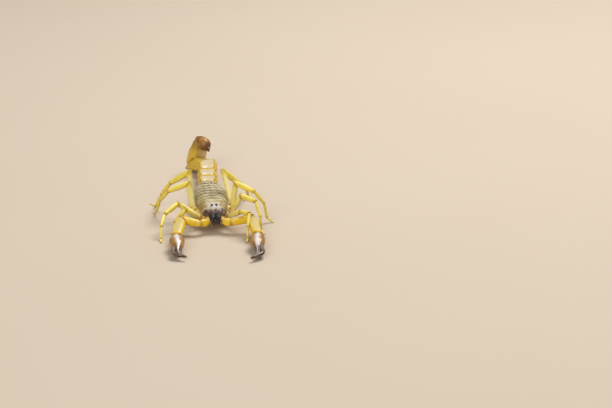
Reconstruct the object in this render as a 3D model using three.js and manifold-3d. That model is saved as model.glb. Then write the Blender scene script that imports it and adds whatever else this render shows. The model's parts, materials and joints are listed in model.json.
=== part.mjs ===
// A desert scorpion, life size, standing with its tail curled up at the end.
// Millimetres, +Z up. The animal faces -Y and +X is its left side.
// One named mesh for each part of the body, with a thin gap at every joint.

import * as THREE from "three";
import { mergeVertices } from "three/addons/utils/BufferGeometryUtils.js";
import Module from "manifold-3d";

const wasm = await Module();
wasm.setup();

// ---- Driving sizes --------------------------------------------------------

const JOINT_GAP = 0.2;
const SKIN_GAP = 0.22;

const CARAPACE_LENGTH = 9.2;
const CARAPACE_FRONT_HALF = 3.75;
const CARAPACE_REAR_HALF = 4.85;
const CARAPACE_FRONT_TOP = 6.45;
const CARAPACE_BROW_DROP = 0.8;
const CARAPACE_REAR_TOP = 7.3;
const CARAPACE_UNDER = 4.95;
const EYE_RADIUS = 0.42;
const EYE_SPACING = 0.74;
const EYE_Y = 3.3;
const EYE_Z = 7.42;

const TERGITE_LENGTHS = [1.9, 2.2, 2.7, 3.1, 3.4, 3.7, 4.4];
const TRUNK_HALF = 5.85;
const TRUNK_END_HALF = 3.2;
const TRUNK_TOP = 7.95;
const TRUNK_END_TOP = 6.7;
const TRUNK_UNDER = 2.75;
const TRUNK_END_UNDER = 2.6;
const TRUNK_WIDEST = 0.5;
const PLATE_STEP = 0.22;
const COXA_REACH_Y = 13.2;

const COXA_TOP = 4.7;
const COXA_UNDER = 2.5;
const COXA_HALF_HEIGHT = 1.1;

const CHELICERA_HALF = 1.05;
const CHELICERA_HAND = 2.5;
const CHELICERA_FINGER = 1.7;
const CHELICERA_X = 1.1;
const CHELICERA_CLOSE = 0.3;
const CHELICERA_Z = 4.8;

const PALP_TROCHANTER = { start: 1.05, belly: 1.3, end: 1.15, depth: 0.95 };
const PALP_FEMUR = { start: 1.05, belly: 1.25, end: 1.35, depth: 0.95 };
const PALP_PATELLA = { start: 1.25, belly: 1.75, end: 1.55, depth: 0.82 };
const MANUS_HALF = 2.42;
const MANUS_DEPTH = 0.92;
const FINGER_LENGTH = 8.4;
const FINGER_HALF = 0.86;
const FINGER_TIP = 0.27;
const FINGER_CURVE = 0.45;
const FINGER_FORWARD = 1.1;

const PECTINE_LENGTH = 6.6;
const PECTINE_WIDTH = 1.5;
const PECTINE_THICKNESS = 0.6;
const PECTINE_TEETH = 16;

const VESICLE_HALF = 2.3;
const ACULEUS_BASE = 0.75;
const ACULEUS_TIP = 0.26;

// Tail joints, from the end of the trunk to the root of the sting.
const TAIL_JOINTS = [
  [0.1, 30.9, 4.6],
  [0.5, 37.8, 4.4],
  [1.0, 45.7, 4.3],
  [1.8, 53.9, 4.7],
  [-2.4, 61.3, 3.1],
  [0.2, 60.3, 12.1],
  [2.3, 57.4, 9.6],
];
const TAIL_HALVES = [3.3, 3.35, 3.25, 3.1, 2.95];
const TAIL_DEPTHS = [0.8, 0.8, 0.82, 0.84, 0.84];
const TAIL_UPS = [
  [0, 0, 1],
  [0, 0, 1],
  [0, 0.05, 1],
  [0.35, -0.2, 0.9],
  [0.6, -0.8, 0.1],
];
const STING_BEND = [2.3, 55.6, 9.6];
const STING_TIP = [1.8, 54.6, 11.5];

// Legs: reach of each piece, and its thickness at the start and at the end.
const LEG_SIZES = {
  1: { lengths: [7.0, 5.5, 4.6, 3.5, 2.2], halves: [0.7, 0.7, 0.52, 0.4, 0.34] },
  2: { lengths: [8.0, 6.1, 5.2, 4.1, 2.2], halves: [0.74, 0.76, 0.56, 0.42, 0.35] },
  3: { lengths: [9.4, 7.2, 6.1, 4.9, 2.5], halves: [0.78, 0.82, 0.6, 0.44, 0.36] },
  4: { lengths: [12.0, 8.8, 7.8, 6.2, 2.8], halves: [0.82, 0.86, 0.64, 0.46, 0.37] },
};
const FOOT_LEVEL = 0.14;
const LIMB_SIDES = 8;
const TOE_SIDES = 6;
const COXA_SIDES = 6;
const DOME_TURNS = [35];

// Hips on the animal's left: [x, y, z]. The right side mirrors them.
const HIPS = {
  1: [4.6, 2.4, 3.7],
  2: [5.6, 4.7, 3.8],
  3: [6.2, 7.6, 3.9],
  4: [6.5, 11.3, 3.9],
};

// Pose of each leg in degrees. Swing turns a piece rearward from straight out,
// rise lifts it above level. The last piece drops until the foot is flat.
const LEG_POSES = {
  left: {
    1: { swing: [-57, -65, -105, -100, -105], rise: [26, 11, -45, -80] },
    2: { swing: [-42, -46, -60, -66, -70], rise: [58, -6, -62, -84] },
    3: { swing: [-22, -36, 26, 2, -6], rise: [82, -14, -52, -80] },
    4: { swing: [110, 36, 66, 70, 70], rise: [58, -40, -26, -53] },
  },
  right: {
    1: { swing: [-32, 0, -80, -86, -88], rise: [34, -52, -33, -5] },
    2: { swing: [-18, -40, -72, -84, -88], rise: [36, -20, -30, -52] },
    3: { swing: [50, 12, 52, 66, 70], rise: [74, -23, -46, -59] },
    4: { swing: [72, 34, 60, 60, 60], rise: [80, -34, -44, -54] },
  },
};

// Joints of the two pedipalps: coxa end, trochanter end, elbow, wrist, hand end.
const PALP_JOINTS = {
  left: [[2.6, -2.7, 3.7], [5.0, -4.5, 3.9], [11.3, -3.9, 4.9], [12.2, -15.0, 3.2], [11.3, -23.1, 2.4]],
  right: [[-2.6, -2.7, 3.7], [-5.0, -4.3, 3.9], [-10.9, -2.9, 5.0], [-13.2, -13.2, 3.2], [-13.4, -21.2, 2.4]],
};
const PALP_TIPS = { left: [8.4, -31.0, 1.0], right: [-10.9, -27.2, 1.0] };
const PALP_THUMB_TIPS = { left: [8.1, -31.1, 1.8], right: [-10.6, -27.3, 1.8] };

// ---- Colours --------------------------------------------------------------

const LOOKS = {
  carapace: [0xb9a077, 0.42],
  trunk: [0x8d8468, 0.45],
  under: [0xd9bd72, 0.45],
  eye: [0x0c0a09, 0.08],
  chelicera: [0x5d3a26, 0.35],
  palp: [0xd9a63c, 0.34],
  hand: [0xb8792b, 0.28],
  leg: [0xe3c352, 0.4],
  tail: [0xdcc583, 0.42],
  telson: [0xb26a1d, 0.32],
  sting: [0x2c1408, 0.2],
};

// ---- Helpers --------------------------------------------------------------

const vec = (p) => new THREE.Vector3(...p);
const lerp = THREE.MathUtils.lerp;
const radians = THREE.MathUtils.degToRad;
const smooth = (t) => THREE.MathUtils.smoothstep(t, 0, 1);

function signedPower(value, power) {
  return Math.sign(value) * Math.abs(value) ** power;
}

// Unit side and up vectors across a direction of travel.
function crossFrame(along, upHint) {
  const side = new THREE.Vector3().crossVectors(along, upHint).normalize();
  const up = new THREE.Vector3().crossVectors(side, along).normalize();
  return { side, up };
}

// A closed body through a row of rings. Each ring has a centre, a half width,
// a reach above and below, and a squareness of 2 for an ellipse or more.
function loft(rings, sides) {
  const rows = rings.length - 1;
  const geometry = new THREE.CylinderGeometry(1, 1, 1, sides, rows);
  const position = geometry.attributes.position;
  const point = new THREE.Vector3();
  for (let i = 0; i < position.count; i += 1) {
    point.fromBufferAttribute(position, i);
    const ring = rings[Math.round((0.5 - point.y) * rows)];
    const power = 2 / (ring.square ?? 2);
    const across = signedPower(point.x, power) * ring.half;
    const rise = signedPower(point.z, power);
    const lift = rise * (rise > 0 ? ring.top : ring.bottom);
    const placed = ring.at.clone();
    placed.addScaledVector(ring.side, across);
    placed.addScaledVector(ring.up, lift);
    position.setXYZ(i, placed.x, placed.y, placed.z);
  }
  return solid(geometry);
}

// Turns a three.js geometry into an exact solid, outward side out.
function solid(geometry) {
  const bare = geometry.clone();
  bare.deleteAttribute("normal");
  bare.deleteAttribute("uv");
  const merged = mergeVertices(bare, 1e-4);
  const vertProperties = Float32Array.from(merged.attributes.position.array);
  const triVerts = Uint32Array.from(merged.index.array);
  if (signedVolume(vertProperties, triVerts) < 0) {
    for (let i = 0; i < triVerts.length; i += 3) {
      [triVerts[i], triVerts[i + 1]] = [triVerts[i + 1], triVerts[i]];
    }
  }
  return new wasm.Manifold(new wasm.Mesh({ numProp: 3, vertProperties, triVerts }));
}

function signedVolume(points, triangles) {
  let total = 0;
  const corner = (k) => new THREE.Vector3().fromArray(points, 3 * triangles[k]);
  for (let i = 0; i < triangles.length; i += 3) {
    total += corner(i).dot(corner(i + 1).cross(corner(i + 2)));
  }
  return total;
}

// Keeps the side of a plane that its normal points to.
function keepAhead(body, point, normal, offset) {
  return body.trimByPlane([normal.x, normal.y, normal.z], normal.dot(point) + offset);
}

// A limb piece from one joint to the next with round ends.
function limb(from, to, upHint, size, sides = LIMB_SIDES) {
  const along = to.clone().sub(from).normalize();
  const { side, up } = crossFrame(along, upHint);
  const length = from.distanceTo(to);
  const rings = [];
  const add = (distance, half) => {
    const at = from.clone().addScaledVector(along, distance);
    const top = half * (size.depth ?? 1);
    rings.push({ at, side, up, half, top, bottom: top, square: size.square });
  };
  for (const turn of DOME_TURNS) {
    add(-size.start * Math.cos(radians(turn)), size.start * Math.sin(radians(turn)));
  }
  add(0, size.start);
  add(length * (size.bellyAt ?? 0.5), size.belly);
  if (size.late) {
    add(length * 0.82, size.late);
  }
  add(length, size.end);
  for (const turn of [...DOME_TURNS].reverse()) {
    add(length + size.end * Math.cos(radians(turn)), size.end * Math.sin(radians(turn)));
  }
  return loft(rings, sides);
}

// The plane that parts two limb pieces at a joint.
function jointPlane(before, joint, after) {
  const incoming = joint.clone().sub(before).normalize();
  const outgoing = after.clone().sub(joint).normalize();
  return incoming.add(outgoing).normalize();
}

// Cuts a limb piece back from the joint planes at its ends.
function partAtJoints(body, joints, index) {
  const from = joints[index];
  const to = joints[index + 1];
  let result = body;
  if (index > 0) {
    const normal = jointPlane(joints[index - 1], from, to);
    result = keepAhead(result, from, normal, JOINT_GAP / 2);
  }
  if (index + 2 < joints.length) {
    const normal = jointPlane(from, to, joints[index + 2]).negate();
    result = keepAhead(result, to, normal, JOINT_GAP / 2);
  }
  return result;
}

const animal = new THREE.Group();
animal.name = "desert_scorpion";

function addPart(name, body, look) {
  const mesh = body.getMesh();
  const geometry = new THREE.BufferGeometry();
  geometry.setAttribute("position", new THREE.BufferAttribute(mesh.vertProperties, 3));
  geometry.setIndex(new THREE.BufferAttribute(mesh.triVerts, 1));
  geometry.computeVertexNormals();
  const [color, roughness] = LOOKS[look];
  const material = new THREE.MeshStandardMaterial({ color, roughness, metalness: 0 });
  const part = new THREE.Mesh(geometry, material);
  part.name = name;
  animal.add(part);
}

const AHEAD = new THREE.Vector3(0, 1, 0);
const UP = new THREE.Vector3(0, 0, 1);
const ACROSS = new THREE.Vector3(1, 0, 0);

// One ring across the trunk, square to the length of the animal.
function trunkRing(y, half, top, bottom, square) {
  const middle = Math.max((top + bottom) / 2 - 0.2 * (top - bottom), bottom + 0.01);
  return {
    at: new THREE.Vector3(0, y, middle),
    side: ACROSS,
    up: UP,
    half,
    top: top - middle,
    bottom: middle - bottom,
    square,
  };
}

// ---- Legs and the planes where they leave the body --------------------------

function legJoints(sideName, number) {
  const mirror = sideName === "left" ? 1 : -1;
  const { swing, rise } = LEG_POSES[sideName][number];
  const lengths = LEG_SIZES[number].lengths;
  const hip = vec(HIPS[number]);
  hip.x *= mirror;
  const joints = [hip];
  lengths.forEach((length, i) => {
    const last = joints[joints.length - 1];
    const turn = radians(swing[i]);
    let lift = radians(rise[i] ?? 0);
    if (i === lengths.length - 1) {
      lift = Math.asin(THREE.MathUtils.clamp((FOOT_LEVEL - last.z) / length, -0.98, 0.2));
    }
    const step = new THREE.Vector3(mirror * Math.cos(turn), Math.sin(turn), 0);
    step.multiplyScalar(Math.cos(lift));
    step.z = Math.sin(lift);
    joints.push(last.clone().addScaledVector(step, length));
  });
  return joints;
}

function legPiece(joints, number, index, grow = 0) {
  const halves = LEG_SIZES[number].halves;
  const half = halves[index] + grow;
  const next = (halves[index + 1] ?? 0.25) + grow;
  const size = {
    start: index === 0 ? half : half * 0.88,
    belly: half * (index < 2 ? 1.12 : 1),
    end: Math.min(half, next * 1.08),
    depth: index < 2 ? 1.15 : 1,
  };
  return limb(joints[index], joints[index + 1], UP, size, index > 2 ? TOE_SIDES : LIMB_SIDES);
}

const legs = [];
for (const sideName of ["left", "right"]) {
  for (const number of [1, 2, 3, 4]) {
    const joints = legJoints(sideName, number);
    const coxaRoot = new THREE.Vector3(0, lerp(3.0, joints[0].y, 0.75), joints[0].z);
    legs.push({ sideName, number, joints, path: [coxaRoot, ...joints] });
  }
}

function addLegs() {
  const names = ["femur", "patella", "tibia"];
  for (const { sideName, number, joints, path } of legs) {
    const base = `leg_${number}_${sideName}`;
    names.forEach((name, index) => {
      const body = partAtJoints(legPiece(joints, number, index), path, index + 1);
      addPart(`${base}_${name}`, body, "leg");
    });
    const metatarsus = partAtJoints(legPiece(joints, number, 3), path, 4);
    const toe = legPiece(joints, number, 4);
    const tarsusStart = jointPlane(joints[2], joints[3], joints[4]);
    let tarsus = metatarsus.add(toe);
    tarsus = keepAhead(tarsus, joints[3], tarsusStart, JOINT_GAP / 2);
    tarsus = tarsus.trimByPlane([0, 0, 1], 0);
    addPart(`${base}_tarsus`, tarsus, "leg");
  }
}

// ---- Head shield, eyes, trunk -----------------------------------------------

function carapaceHalf(t) {
  return lerp(CARAPACE_FRONT_HALF, CARAPACE_REAR_HALF, smooth(t) * 0.45 + t * 0.55);
}

function carapaceTop(t) {
  const slope = lerp(CARAPACE_FRONT_TOP, CARAPACE_REAR_TOP, t ** 0.7);
  const eyeRise = 0.42 * Math.exp(-(((t - EYE_Y / CARAPACE_LENGTH) / 0.13) ** 2));
  const browDrop = CARAPACE_BROW_DROP * Math.exp(-((t / 0.12) ** 2));
  return slope + eyeRise * 0.75 - browDrop;
}

function buildCarapace() {
  const rings = [];
  const rows = 10;
  for (let i = 0; i <= rows; i += 1) {
    const t = (i / rows) ** 1.25;
    const y = t * CARAPACE_LENGTH;
    const edge = Math.min(1, 0.86 + 4 * Math.min(t, 1 - t));
    const half = carapaceHalf(t) * edge;
    const top = lerp(CARAPACE_UNDER + 0.4, carapaceTop(t), edge);
    rings.push(trunkRing(y, half, top, CARAPACE_UNDER - 0.9, 2.4));
  }
  let body = loft(rings, 20);
  body = body.trimByPlane([0, 0, 1], CARAPACE_UNDER);
  return body;
}

function eyeBall(side, grow) {
  const geometry = new THREE.SphereGeometry(EYE_RADIUS + grow, 10, 6);
  geometry.translate(side * EYE_SPACING, EYE_Y, EYE_Z);
  return solid(geometry);
}

function trunkHalf(t) {
  const swell = t < TRUNK_WIDEST
    ? lerp(CARAPACE_REAR_HALF, TRUNK_HALF, Math.sin((t / TRUNK_WIDEST) * Math.PI / 2))
    : lerp(TRUNK_HALF, TRUNK_END_HALF, ((t - TRUNK_WIDEST) / (1 - TRUNK_WIDEST)) ** 1.6);
  return swell;
}

function trunkTop(t) {
  const crest = Math.sin(Math.PI * Math.min(1, t * 1.15 + 0.1));
  return lerp(CARAPACE_REAR_TOP - 0.1, TRUNK_END_TOP, t) + (TRUNK_TOP - 7.0) * crest * 0.75;
}

function trunkUnder(t) {
  return lerp(TRUNK_UNDER, TRUNK_END_UNDER, t);
}

function buildTrunk() {
  const total = TERGITE_LENGTHS.reduce((sum, length) => sum + length, 0);
  const start = CARAPACE_LENGTH + SKIN_GAP;
  const rings = [];
  let along = 0;
  for (const length of TERGITE_LENGTHS) {
    for (const [share, drop] of [[0, 1], [0.35, 0.35], [0.9, 0]]) {
      const t = (along + length * share) / total;
      const y = start + along + length * share;
      const step = PLATE_STEP * drop;
      rings.push(trunkRing(y, trunkHalf(t) - step, trunkTop(t) - step, trunkUnder(t) + step / 2, 2.5));
    }
    along += length;
  }
  rings.push(trunkRing(start + total - 0.15, TRUNK_END_HALF * 0.86, TRUNK_END_TOP - 0.5, TRUNK_END_UNDER + 0.4, 2.5));
  let body = loft(rings, 16);
  // Room for the bases of the legs under the front of the trunk.
  const room = new THREE.BoxGeometry(30, 10, 8);
  room.translate(0, COXA_REACH_Y - 5 + SKIN_GAP, COXA_TOP + SKIN_GAP - 4);
  body = body.subtract(solid(room));
  const root = vec(TAIL_JOINTS[0]);
  return keepAhead(body, root, AHEAD.clone().negate(), 0.1);
}

// The bases of the legs and of the pedipalps, grown together with the breastplate.
function buildCoxae() {
  const plate = new THREE.SphereGeometry(1, 12, 7);
  plate.scale(2.6, 6.6, COXA_HALF_HEIGHT + 0.1);
  plate.translate(0, 6.2, (COXA_TOP + COXA_UNDER) / 2);
  let body = solid(plate);
  for (const { joints, path } of legs) {
    const hip = joints[0];
    const root = path[0].clone();
    root.z = 3.7;
    const lobe = limb(root, hip, UP, { start: 0.95, belly: 1.05, end: 1.0, depth: 1.0 }, COXA_SIDES);
    const cut = keepAhead(lobe, hip, jointPlane(path[0], hip, joints[1]).negate(), JOINT_GAP / 2);
    body = body.add(cut);
  }
  for (const sideName of ["left", "right"]) {
    const joints = PALP_JOINTS[sideName].map(vec);
    const root = new THREE.Vector3(joints[0].x * 0.42, 1.6, 3.55);
    const lobe = limb(root, joints[0], UP, { start: 1.0, belly: 1.15, end: 1.15, depth: 0.85 }, 8);
    const normal = jointPlane(root, joints[0], joints[1]).negate();
    body = body.add(keepAhead(lobe, joints[0], normal, JOINT_GAP / 2));
  }
  const mouthRoom = new THREE.BoxGeometry(2 * (CHELICERA_X + CHELICERA_HALF) + 0.5, 8, 6);
  mouthRoom.translate(0, -4 + 0.7, 3 + CHELICERA_Z - 1.1);
  body = body.subtract(solid(mouthRoom));
  body = body.trimByPlane([0, 0, -1], -COXA_TOP);
  return body.trimByPlane([0, -1, 0], -(COXA_REACH_Y - 0.1));
}

// ---- Chelicerae ---------------------------------------------------------------

function buildChelicera(side) {
  const root = new THREE.Vector3(side * CHELICERA_X, -0.35, CHELICERA_Z + 0.1);
  const palm = new THREE.Vector3(
    side * (CHELICERA_X - CHELICERA_CLOSE), -0.35 - CHELICERA_HAND, CHELICERA_Z - 0.25,
  );
  const half = CHELICERA_HALF;
  let body = limb(root, palm, UP, {
    start: half * 0.85, belly: half * 0.96, end: half * 0.74, depth: 1.02, square: 2.6,
  }, 8);
  for (const [spread, drop] of [[0.42, 0.25], [-0.42, 0.55]]) {
    const rootPoint = palm.clone().add(new THREE.Vector3(side * spread * 0.7, 0.2, 0));
    const bend = palm.clone().add(new THREE.Vector3(side * spread * 1.1, -0.9, -drop));
    const tip = palm.clone().add(new THREE.Vector3(side * spread * 0.3, -CHELICERA_FINGER, -drop - 0.75));
    body = body.add(curvedHorn([rootPoint, bend, tip], 0.42, 0.25, 4, 6));
  }
  body = body.trimByPlane([0, -1, 0], SKIN_GAP);
  return body.trimByPlane([side, 0, 0], 0.08);
}

// A tapering horn along a smooth curve.
function curvedHorn(points, rootHalf, tipHalf, rows, sides, upHint = UP) {
  const curve = new THREE.CatmullRomCurve3(points);
  const rings = [];
  for (let i = 0; i <= rows; i += 1) {
    const t = i / rows;
    const along = curve.getTangentAt(t);
    const { side, up } = crossFrame(along, upHint);
    const half = lerp(rootHalf, tipHalf, t ** 1.2);
    rings.push({ at: curve.getPointAt(t), side, up, half, top: half, bottom: half });
  }
  return loft(rings, sides);
}

// ---- Pedipalps ------------------------------------------------------------------

function buildPalp(sideName) {
  const mirror = sideName === "left" ? 1 : -1;
  const joints = PALP_JOINTS[sideName].map(vec);
  const root = new THREE.Vector3(joints[0].x * 0.42, 1.6, 3.55);
  const path = [root, ...joints];
  const pieces = [
    ["trochanter", PALP_TROCHANTER, "palp"],
    ["femur", PALP_FEMUR, "palp"],
    ["patella", PALP_PATELLA, "palp"],
  ];
  pieces.forEach(([name, size, look], index) => {
    const body = limb(joints[index], joints[index + 1], UP, { ...size, square: 2.4 }, 12);
    addPart(`pedipalp_${sideName}_${name}`, partAtJoints(body, path, index + 1), look);
  });

  const wrist = joints[3];
  const palm = joints[4];
  const tip = vec(PALP_TIPS[sideName]);
  const thumbTip = vec(PALP_THUMB_TIPS[sideName]);
  const handAlong = palm.clone().sub(wrist).normalize();
  const { side } = crossFrame(handAlong, UP);
  const outward = side.clone().multiplyScalar(Math.sign(side.x) * mirror);
  let hand = limb(wrist, palm, UP, {
    start: MANUS_HALF * 0.62,
    belly: MANUS_HALF,
    bellyAt: 0.46,
    late: MANUS_HALF * 0.9,
    end: MANUS_HALF * 0.64,
    depth: MANUS_DEPTH,
  }, 12);
  const wristNormal = jointPlane(joints[2], wrist, palm);
  hand = keepAhead(hand, wrist, wristNormal, JOINT_GAP / 2);

  const fingerLine = (end, rootShift, bulge) => {
    const start = palm.clone().addScaledVector(handAlong, -0.6).addScaledVector(outward, rootShift);
    const middle = start.clone().lerp(end, 0.5).addScaledVector(outward, FINGER_LENGTH * bulge);
    middle.addScaledVector(handAlong, FINGER_FORWARD);
    return [start, middle, end];
  };
  const thumb = curvedHorn(fingerLine(tip, -0.1, FINGER_CURVE * 0.34), FINGER_HALF * 1.25, FINGER_TIP, 6, 8);
  const mover = curvedHorn(fingerLine(thumbTip, 0.9, FINGER_CURVE * 0.56), FINGER_HALF, FINGER_TIP, 6, 8);
  const moverRoom = curvedHorn(
    fingerLine(thumbTip, 0.9, FINGER_CURVE * 0.56), FINGER_HALF + SKIN_GAP, FINGER_TIP + SKIN_GAP, 6, 8,
  );
  const manus = hand.add(thumb).subtract(moverRoom);
  addPart(`pedipalp_${sideName}_manus`, biggest(manus), "hand");
  addPart(`pedipalp_${sideName}_movable_finger`, mover, "hand");
}

// The largest connected piece of a body.
function biggest(body) {
  const pieces = body.decompose();
  pieces.sort((a, b) => b.volume() - a.volume());
  return pieces[0];
}

// ---- Combs under the body -------------------------------------------------------

function buildPectine(side) {
  const shape = new THREE.Shape();
  const steps = PECTINE_TEETH * 2;
  shape.moveTo(0, 0);
  shape.quadraticCurveTo(PECTINE_LENGTH * 0.5, 0.75, PECTINE_LENGTH, 0);
  for (let i = 0; i <= steps; i += 1) {
    const t = 1 - i / steps;
    const width = PECTINE_WIDTH * (0.62 + 0.38 * Math.sin(Math.PI * Math.min(1, t + 0.2)));
    const tooth = i % 2 === 0 ? 0.26 : 0;
    shape.lineTo(PECTINE_LENGTH * t, 0.75 * 2 * t * (1 - t) - width + tooth);
  }
  shape.closePath();
  const geometry = new THREE.ExtrudeGeometry(shape, {
    depth: PECTINE_THICKNESS,
    bevelEnabled: false,
    curveSegments: 6,
  });
  geometry.rotateZ(radians(-48));
  geometry.scale(side, -1, 1);
  geometry.translate(side * 0.7, 13.6, 1.75);
  return solid(geometry).trimByPlane([side, 0, 0], 0.15);
}

// ---- Tail -------------------------------------------------------------------------

function buildTail() {
  const joints = TAIL_JOINTS.map(vec);
  const before = joints[0].clone().sub(AHEAD);
  const path = [before, ...joints];
  TAIL_HALVES.forEach((half, index) => {
    const body = limb(joints[index], joints[index + 1], vec(TAIL_UPS[index]), {
      start: half * 0.84,
      belly: half,
      bellyAt: 0.45,
      late: half * 0.99,
      end: half * 0.86,
      depth: TAIL_DEPTHS[index],
      square: 2.8,
    }, 12);
    addPart(`metasoma_${index + 1}`, partAtJoints(body, path, index + 1), "tail");
  });

  const root = joints[5];
  const end = joints[6];
  const along = end.clone().sub(root).normalize();
  let vesicle = limb(root, end, UP, {
    start: VESICLE_HALF * 0.62,
    belly: VESICLE_HALF,
    bellyAt: 0.48,
    late: VESICLE_HALF * 0.8,
    end: VESICLE_HALF * 0.5,
    depth: 0.97,
  }, 12);
  vesicle = keepAhead(vesicle, root, jointPlane(joints[4], root, end), JOINT_GAP / 2);
  vesicle = keepAhead(vesicle, end, along.clone().negate(), JOINT_GAP / 2);
  addPart("telson_vesicle", vesicle, "telson");

  const start = end.clone().addScaledVector(along, -0.5);
  let sting = curvedHorn([start, vec(STING_BEND), vec(STING_TIP)], ACULEUS_BASE, ACULEUS_TIP, 8, 8, ACROSS);
  sting = keepAhead(sting, end, along, JOINT_GAP / 2);
  addPart("telson_aculeus", sting, "sting");
}

// ---- Assembly ---------------------------------------------------------------------

let carapace = buildCarapace();
let trunk = buildTrunk();
for (const { number, joints } of legs) {
  const room = legPiece(joints, number, 0, SKIN_GAP);
  carapace = carapace.subtract(room);
  trunk = trunk.subtract(room);
}
for (const side of [1, -1]) {
  carapace = carapace.subtract(eyeBall(side, 0.06));
}
addPart("carapace", biggest(carapace), "carapace");
addPart("eye_median_left", eyeBall(1, 0), "eye");
addPart("eye_median_right", eyeBall(-1, 0), "eye");
addPart("mesosoma", biggest(trunk), "trunk");
addPart("coxal_region", biggest(buildCoxae()), "under");
for (const [side, name] of [[1, "left"], [-1, "right"]]) {
  addPart(`chelicera_${name}`, biggest(buildChelicera(side)), "chelicera");
  addPart(`pectine_${name}`, buildPectine(side), "under");
}
buildPalp("left");
buildPalp("right");
addLegs();
buildTail();

// The origin sits on the floor under the middle of the outline.
const outline = new THREE.Box3().setFromObject(animal);
const centre = outline.getCenter(new THREE.Vector3());
animal.children.forEach((part) => part.geometry.translate(-centre.x, -centre.y, -outline.min.z));

export default animal;
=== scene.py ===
# %% [markdown]
# # A desert scorpion, life size
# A scorpion wears its skeleton outside: stiff plates and tubes of cuticle, joined by soft
# pleated skin. So the model is made the same way. One soft skin fills the gaps, and every
# plate and limb piece is its own closed shell over it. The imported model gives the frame,
# and every shell stands where its solid stands.

# %% Load the frame
import json
import math

import bmesh
import bpy
import numpy as np
from mathutils import Matrix, Vector

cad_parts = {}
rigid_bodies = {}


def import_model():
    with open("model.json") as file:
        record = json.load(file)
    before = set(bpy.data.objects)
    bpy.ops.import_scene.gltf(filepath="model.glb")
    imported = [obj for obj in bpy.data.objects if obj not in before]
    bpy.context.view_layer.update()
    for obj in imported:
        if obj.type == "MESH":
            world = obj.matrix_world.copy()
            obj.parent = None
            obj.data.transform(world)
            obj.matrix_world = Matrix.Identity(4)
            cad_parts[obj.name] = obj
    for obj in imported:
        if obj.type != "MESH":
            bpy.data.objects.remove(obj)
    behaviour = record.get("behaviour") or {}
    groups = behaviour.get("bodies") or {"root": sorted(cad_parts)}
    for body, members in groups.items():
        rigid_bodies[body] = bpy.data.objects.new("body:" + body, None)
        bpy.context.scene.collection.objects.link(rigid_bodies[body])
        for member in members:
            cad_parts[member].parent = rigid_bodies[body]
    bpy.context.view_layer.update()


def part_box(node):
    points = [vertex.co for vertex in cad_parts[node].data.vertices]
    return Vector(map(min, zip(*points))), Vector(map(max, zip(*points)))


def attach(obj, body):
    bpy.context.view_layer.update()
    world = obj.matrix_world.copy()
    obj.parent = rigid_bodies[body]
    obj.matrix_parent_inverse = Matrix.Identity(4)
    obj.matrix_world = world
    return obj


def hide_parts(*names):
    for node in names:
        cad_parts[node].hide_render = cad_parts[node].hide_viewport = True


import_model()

# %% [markdown]
# ## Where things are
# The animal is worked out in its own millimetres: zero on the ground under the front of
# the head shield, tail towards +Y, left side at +X. The two eyes of the frame say how
# far that is from the frame's own origin.

# %% Place the animal in the frame
MM = 0.001
EYE_RADIUS, EYE_SPACING, EYE_Y, EYE_Z = 0.42, 0.74, 3.3, 7.42
eye_corners = [corner for side in ("left", "right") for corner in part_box(f"eye_median_{side}")]
EYE_MIDDLE = np.mean([list(corner) for corner in eye_corners], axis=0)
SHIFT = EYE_MIDDLE - MM * np.array([0, EYE_Y, EYE_Z])
UP, AHEAD, ACROSS = np.eye(3)[[2, 1, 0]]
SIDES = {"left": 1, "right": -1}
chance = np.random.default_rng(11)
print("shift in mm:", np.round(SHIFT / MM, 3))

# %% [markdown]
# ## Small tools for shapes
# Nearly every shell is a row of rings, so these helpers make directions, smooth
# profiles and soft ridges. `follow` runs smoothly through a few named widths without
# bulging past them, which a plain spline would do.

# %% Directions, profiles and ridges
def unit(v):
    v = np.asarray(v, float)
    return v / np.linalg.norm(v)


def across(along, hint):
    """Two directions square to a third; the second one leans towards the hint."""
    side = unit(np.cross(along, hint))
    return side, unit(np.cross(side, along))


def ease(t):
    """Runs from 0 to 1 with a soft start and a soft end."""
    t = np.clip(t, 0, 1)
    return t * t * (3 - 2 * t)


def window(t, start, end, soft=0.06):
    """1 between two places and 0 outside them, with soft steps."""
    return ease((t - start) / soft + 0.5) * ease((end - t) / soft + 0.5)


def bump(x, middle, width):
    """A round hill of height 1."""
    return np.exp(-(((x - middle) / width) ** 2))


def follow(t, knots):
    """A smooth profile through (place, size) knots that never bulges past them."""
    places, sizes = np.array(knots, float).T
    rise = np.diff(sizes) / np.diff(places)
    slope = np.zeros(len(places))
    same = rise[:-1] * rise[1:] > 0
    slope[1:-1][same] = (2 * rise[:-1] * rise[1:])[same] / (rise[:-1] + rise[1:])[same]
    i = np.clip(np.searchsorted(places, t, side="right") - 1, 0, len(places) - 2)
    gap = places[i + 1] - places[i]
    u = np.clip((t - places[i]) / gap, 0, 1)
    ends = sizes[i] * (1 + 2 * u) * (1 - u) ** 2 + sizes[i + 1] * u * u * (3 - 2 * u)
    return ends + gap * (slope[i] * u * (1 - u) ** 2 + slope[i + 1] * u * u * (u - 1))


def power_of(value, power):
    """A power that keeps the sign, to square off a circle."""
    return np.sign(value) * np.abs(value) ** power


def curve_through(points, count):
    """Evenly spaced points on a smooth curve through the given ones."""
    p = np.array(points, float)
    p = np.vstack([2 * p[0] - p[1], p, 2 * p[-1] - p[-2]])
    t = np.linspace(0, 1, 40, endpoint=False)[:, None]
    spans = []
    for a, b, c, d in zip(p, p[1:], p[2:], p[3:]):
        cubic = (3 * b - a - 3 * c + d) * t**3
        spans.append((2 * b + (c - a) * t + (2 * a - 5 * b + 4 * c - d) * t**2 + cubic) / 2)
    fine = np.vstack([*spans, p[-2:-1]])
    reach = np.concatenate([[0], np.cumsum(np.linalg.norm(np.diff(fine, axis=0), axis=1))])
    stops = np.linspace(0, reach[-1], count)
    return np.stack([np.interp(stops, reach, fine[:, k]) for k in range(3)], axis=1)


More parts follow.
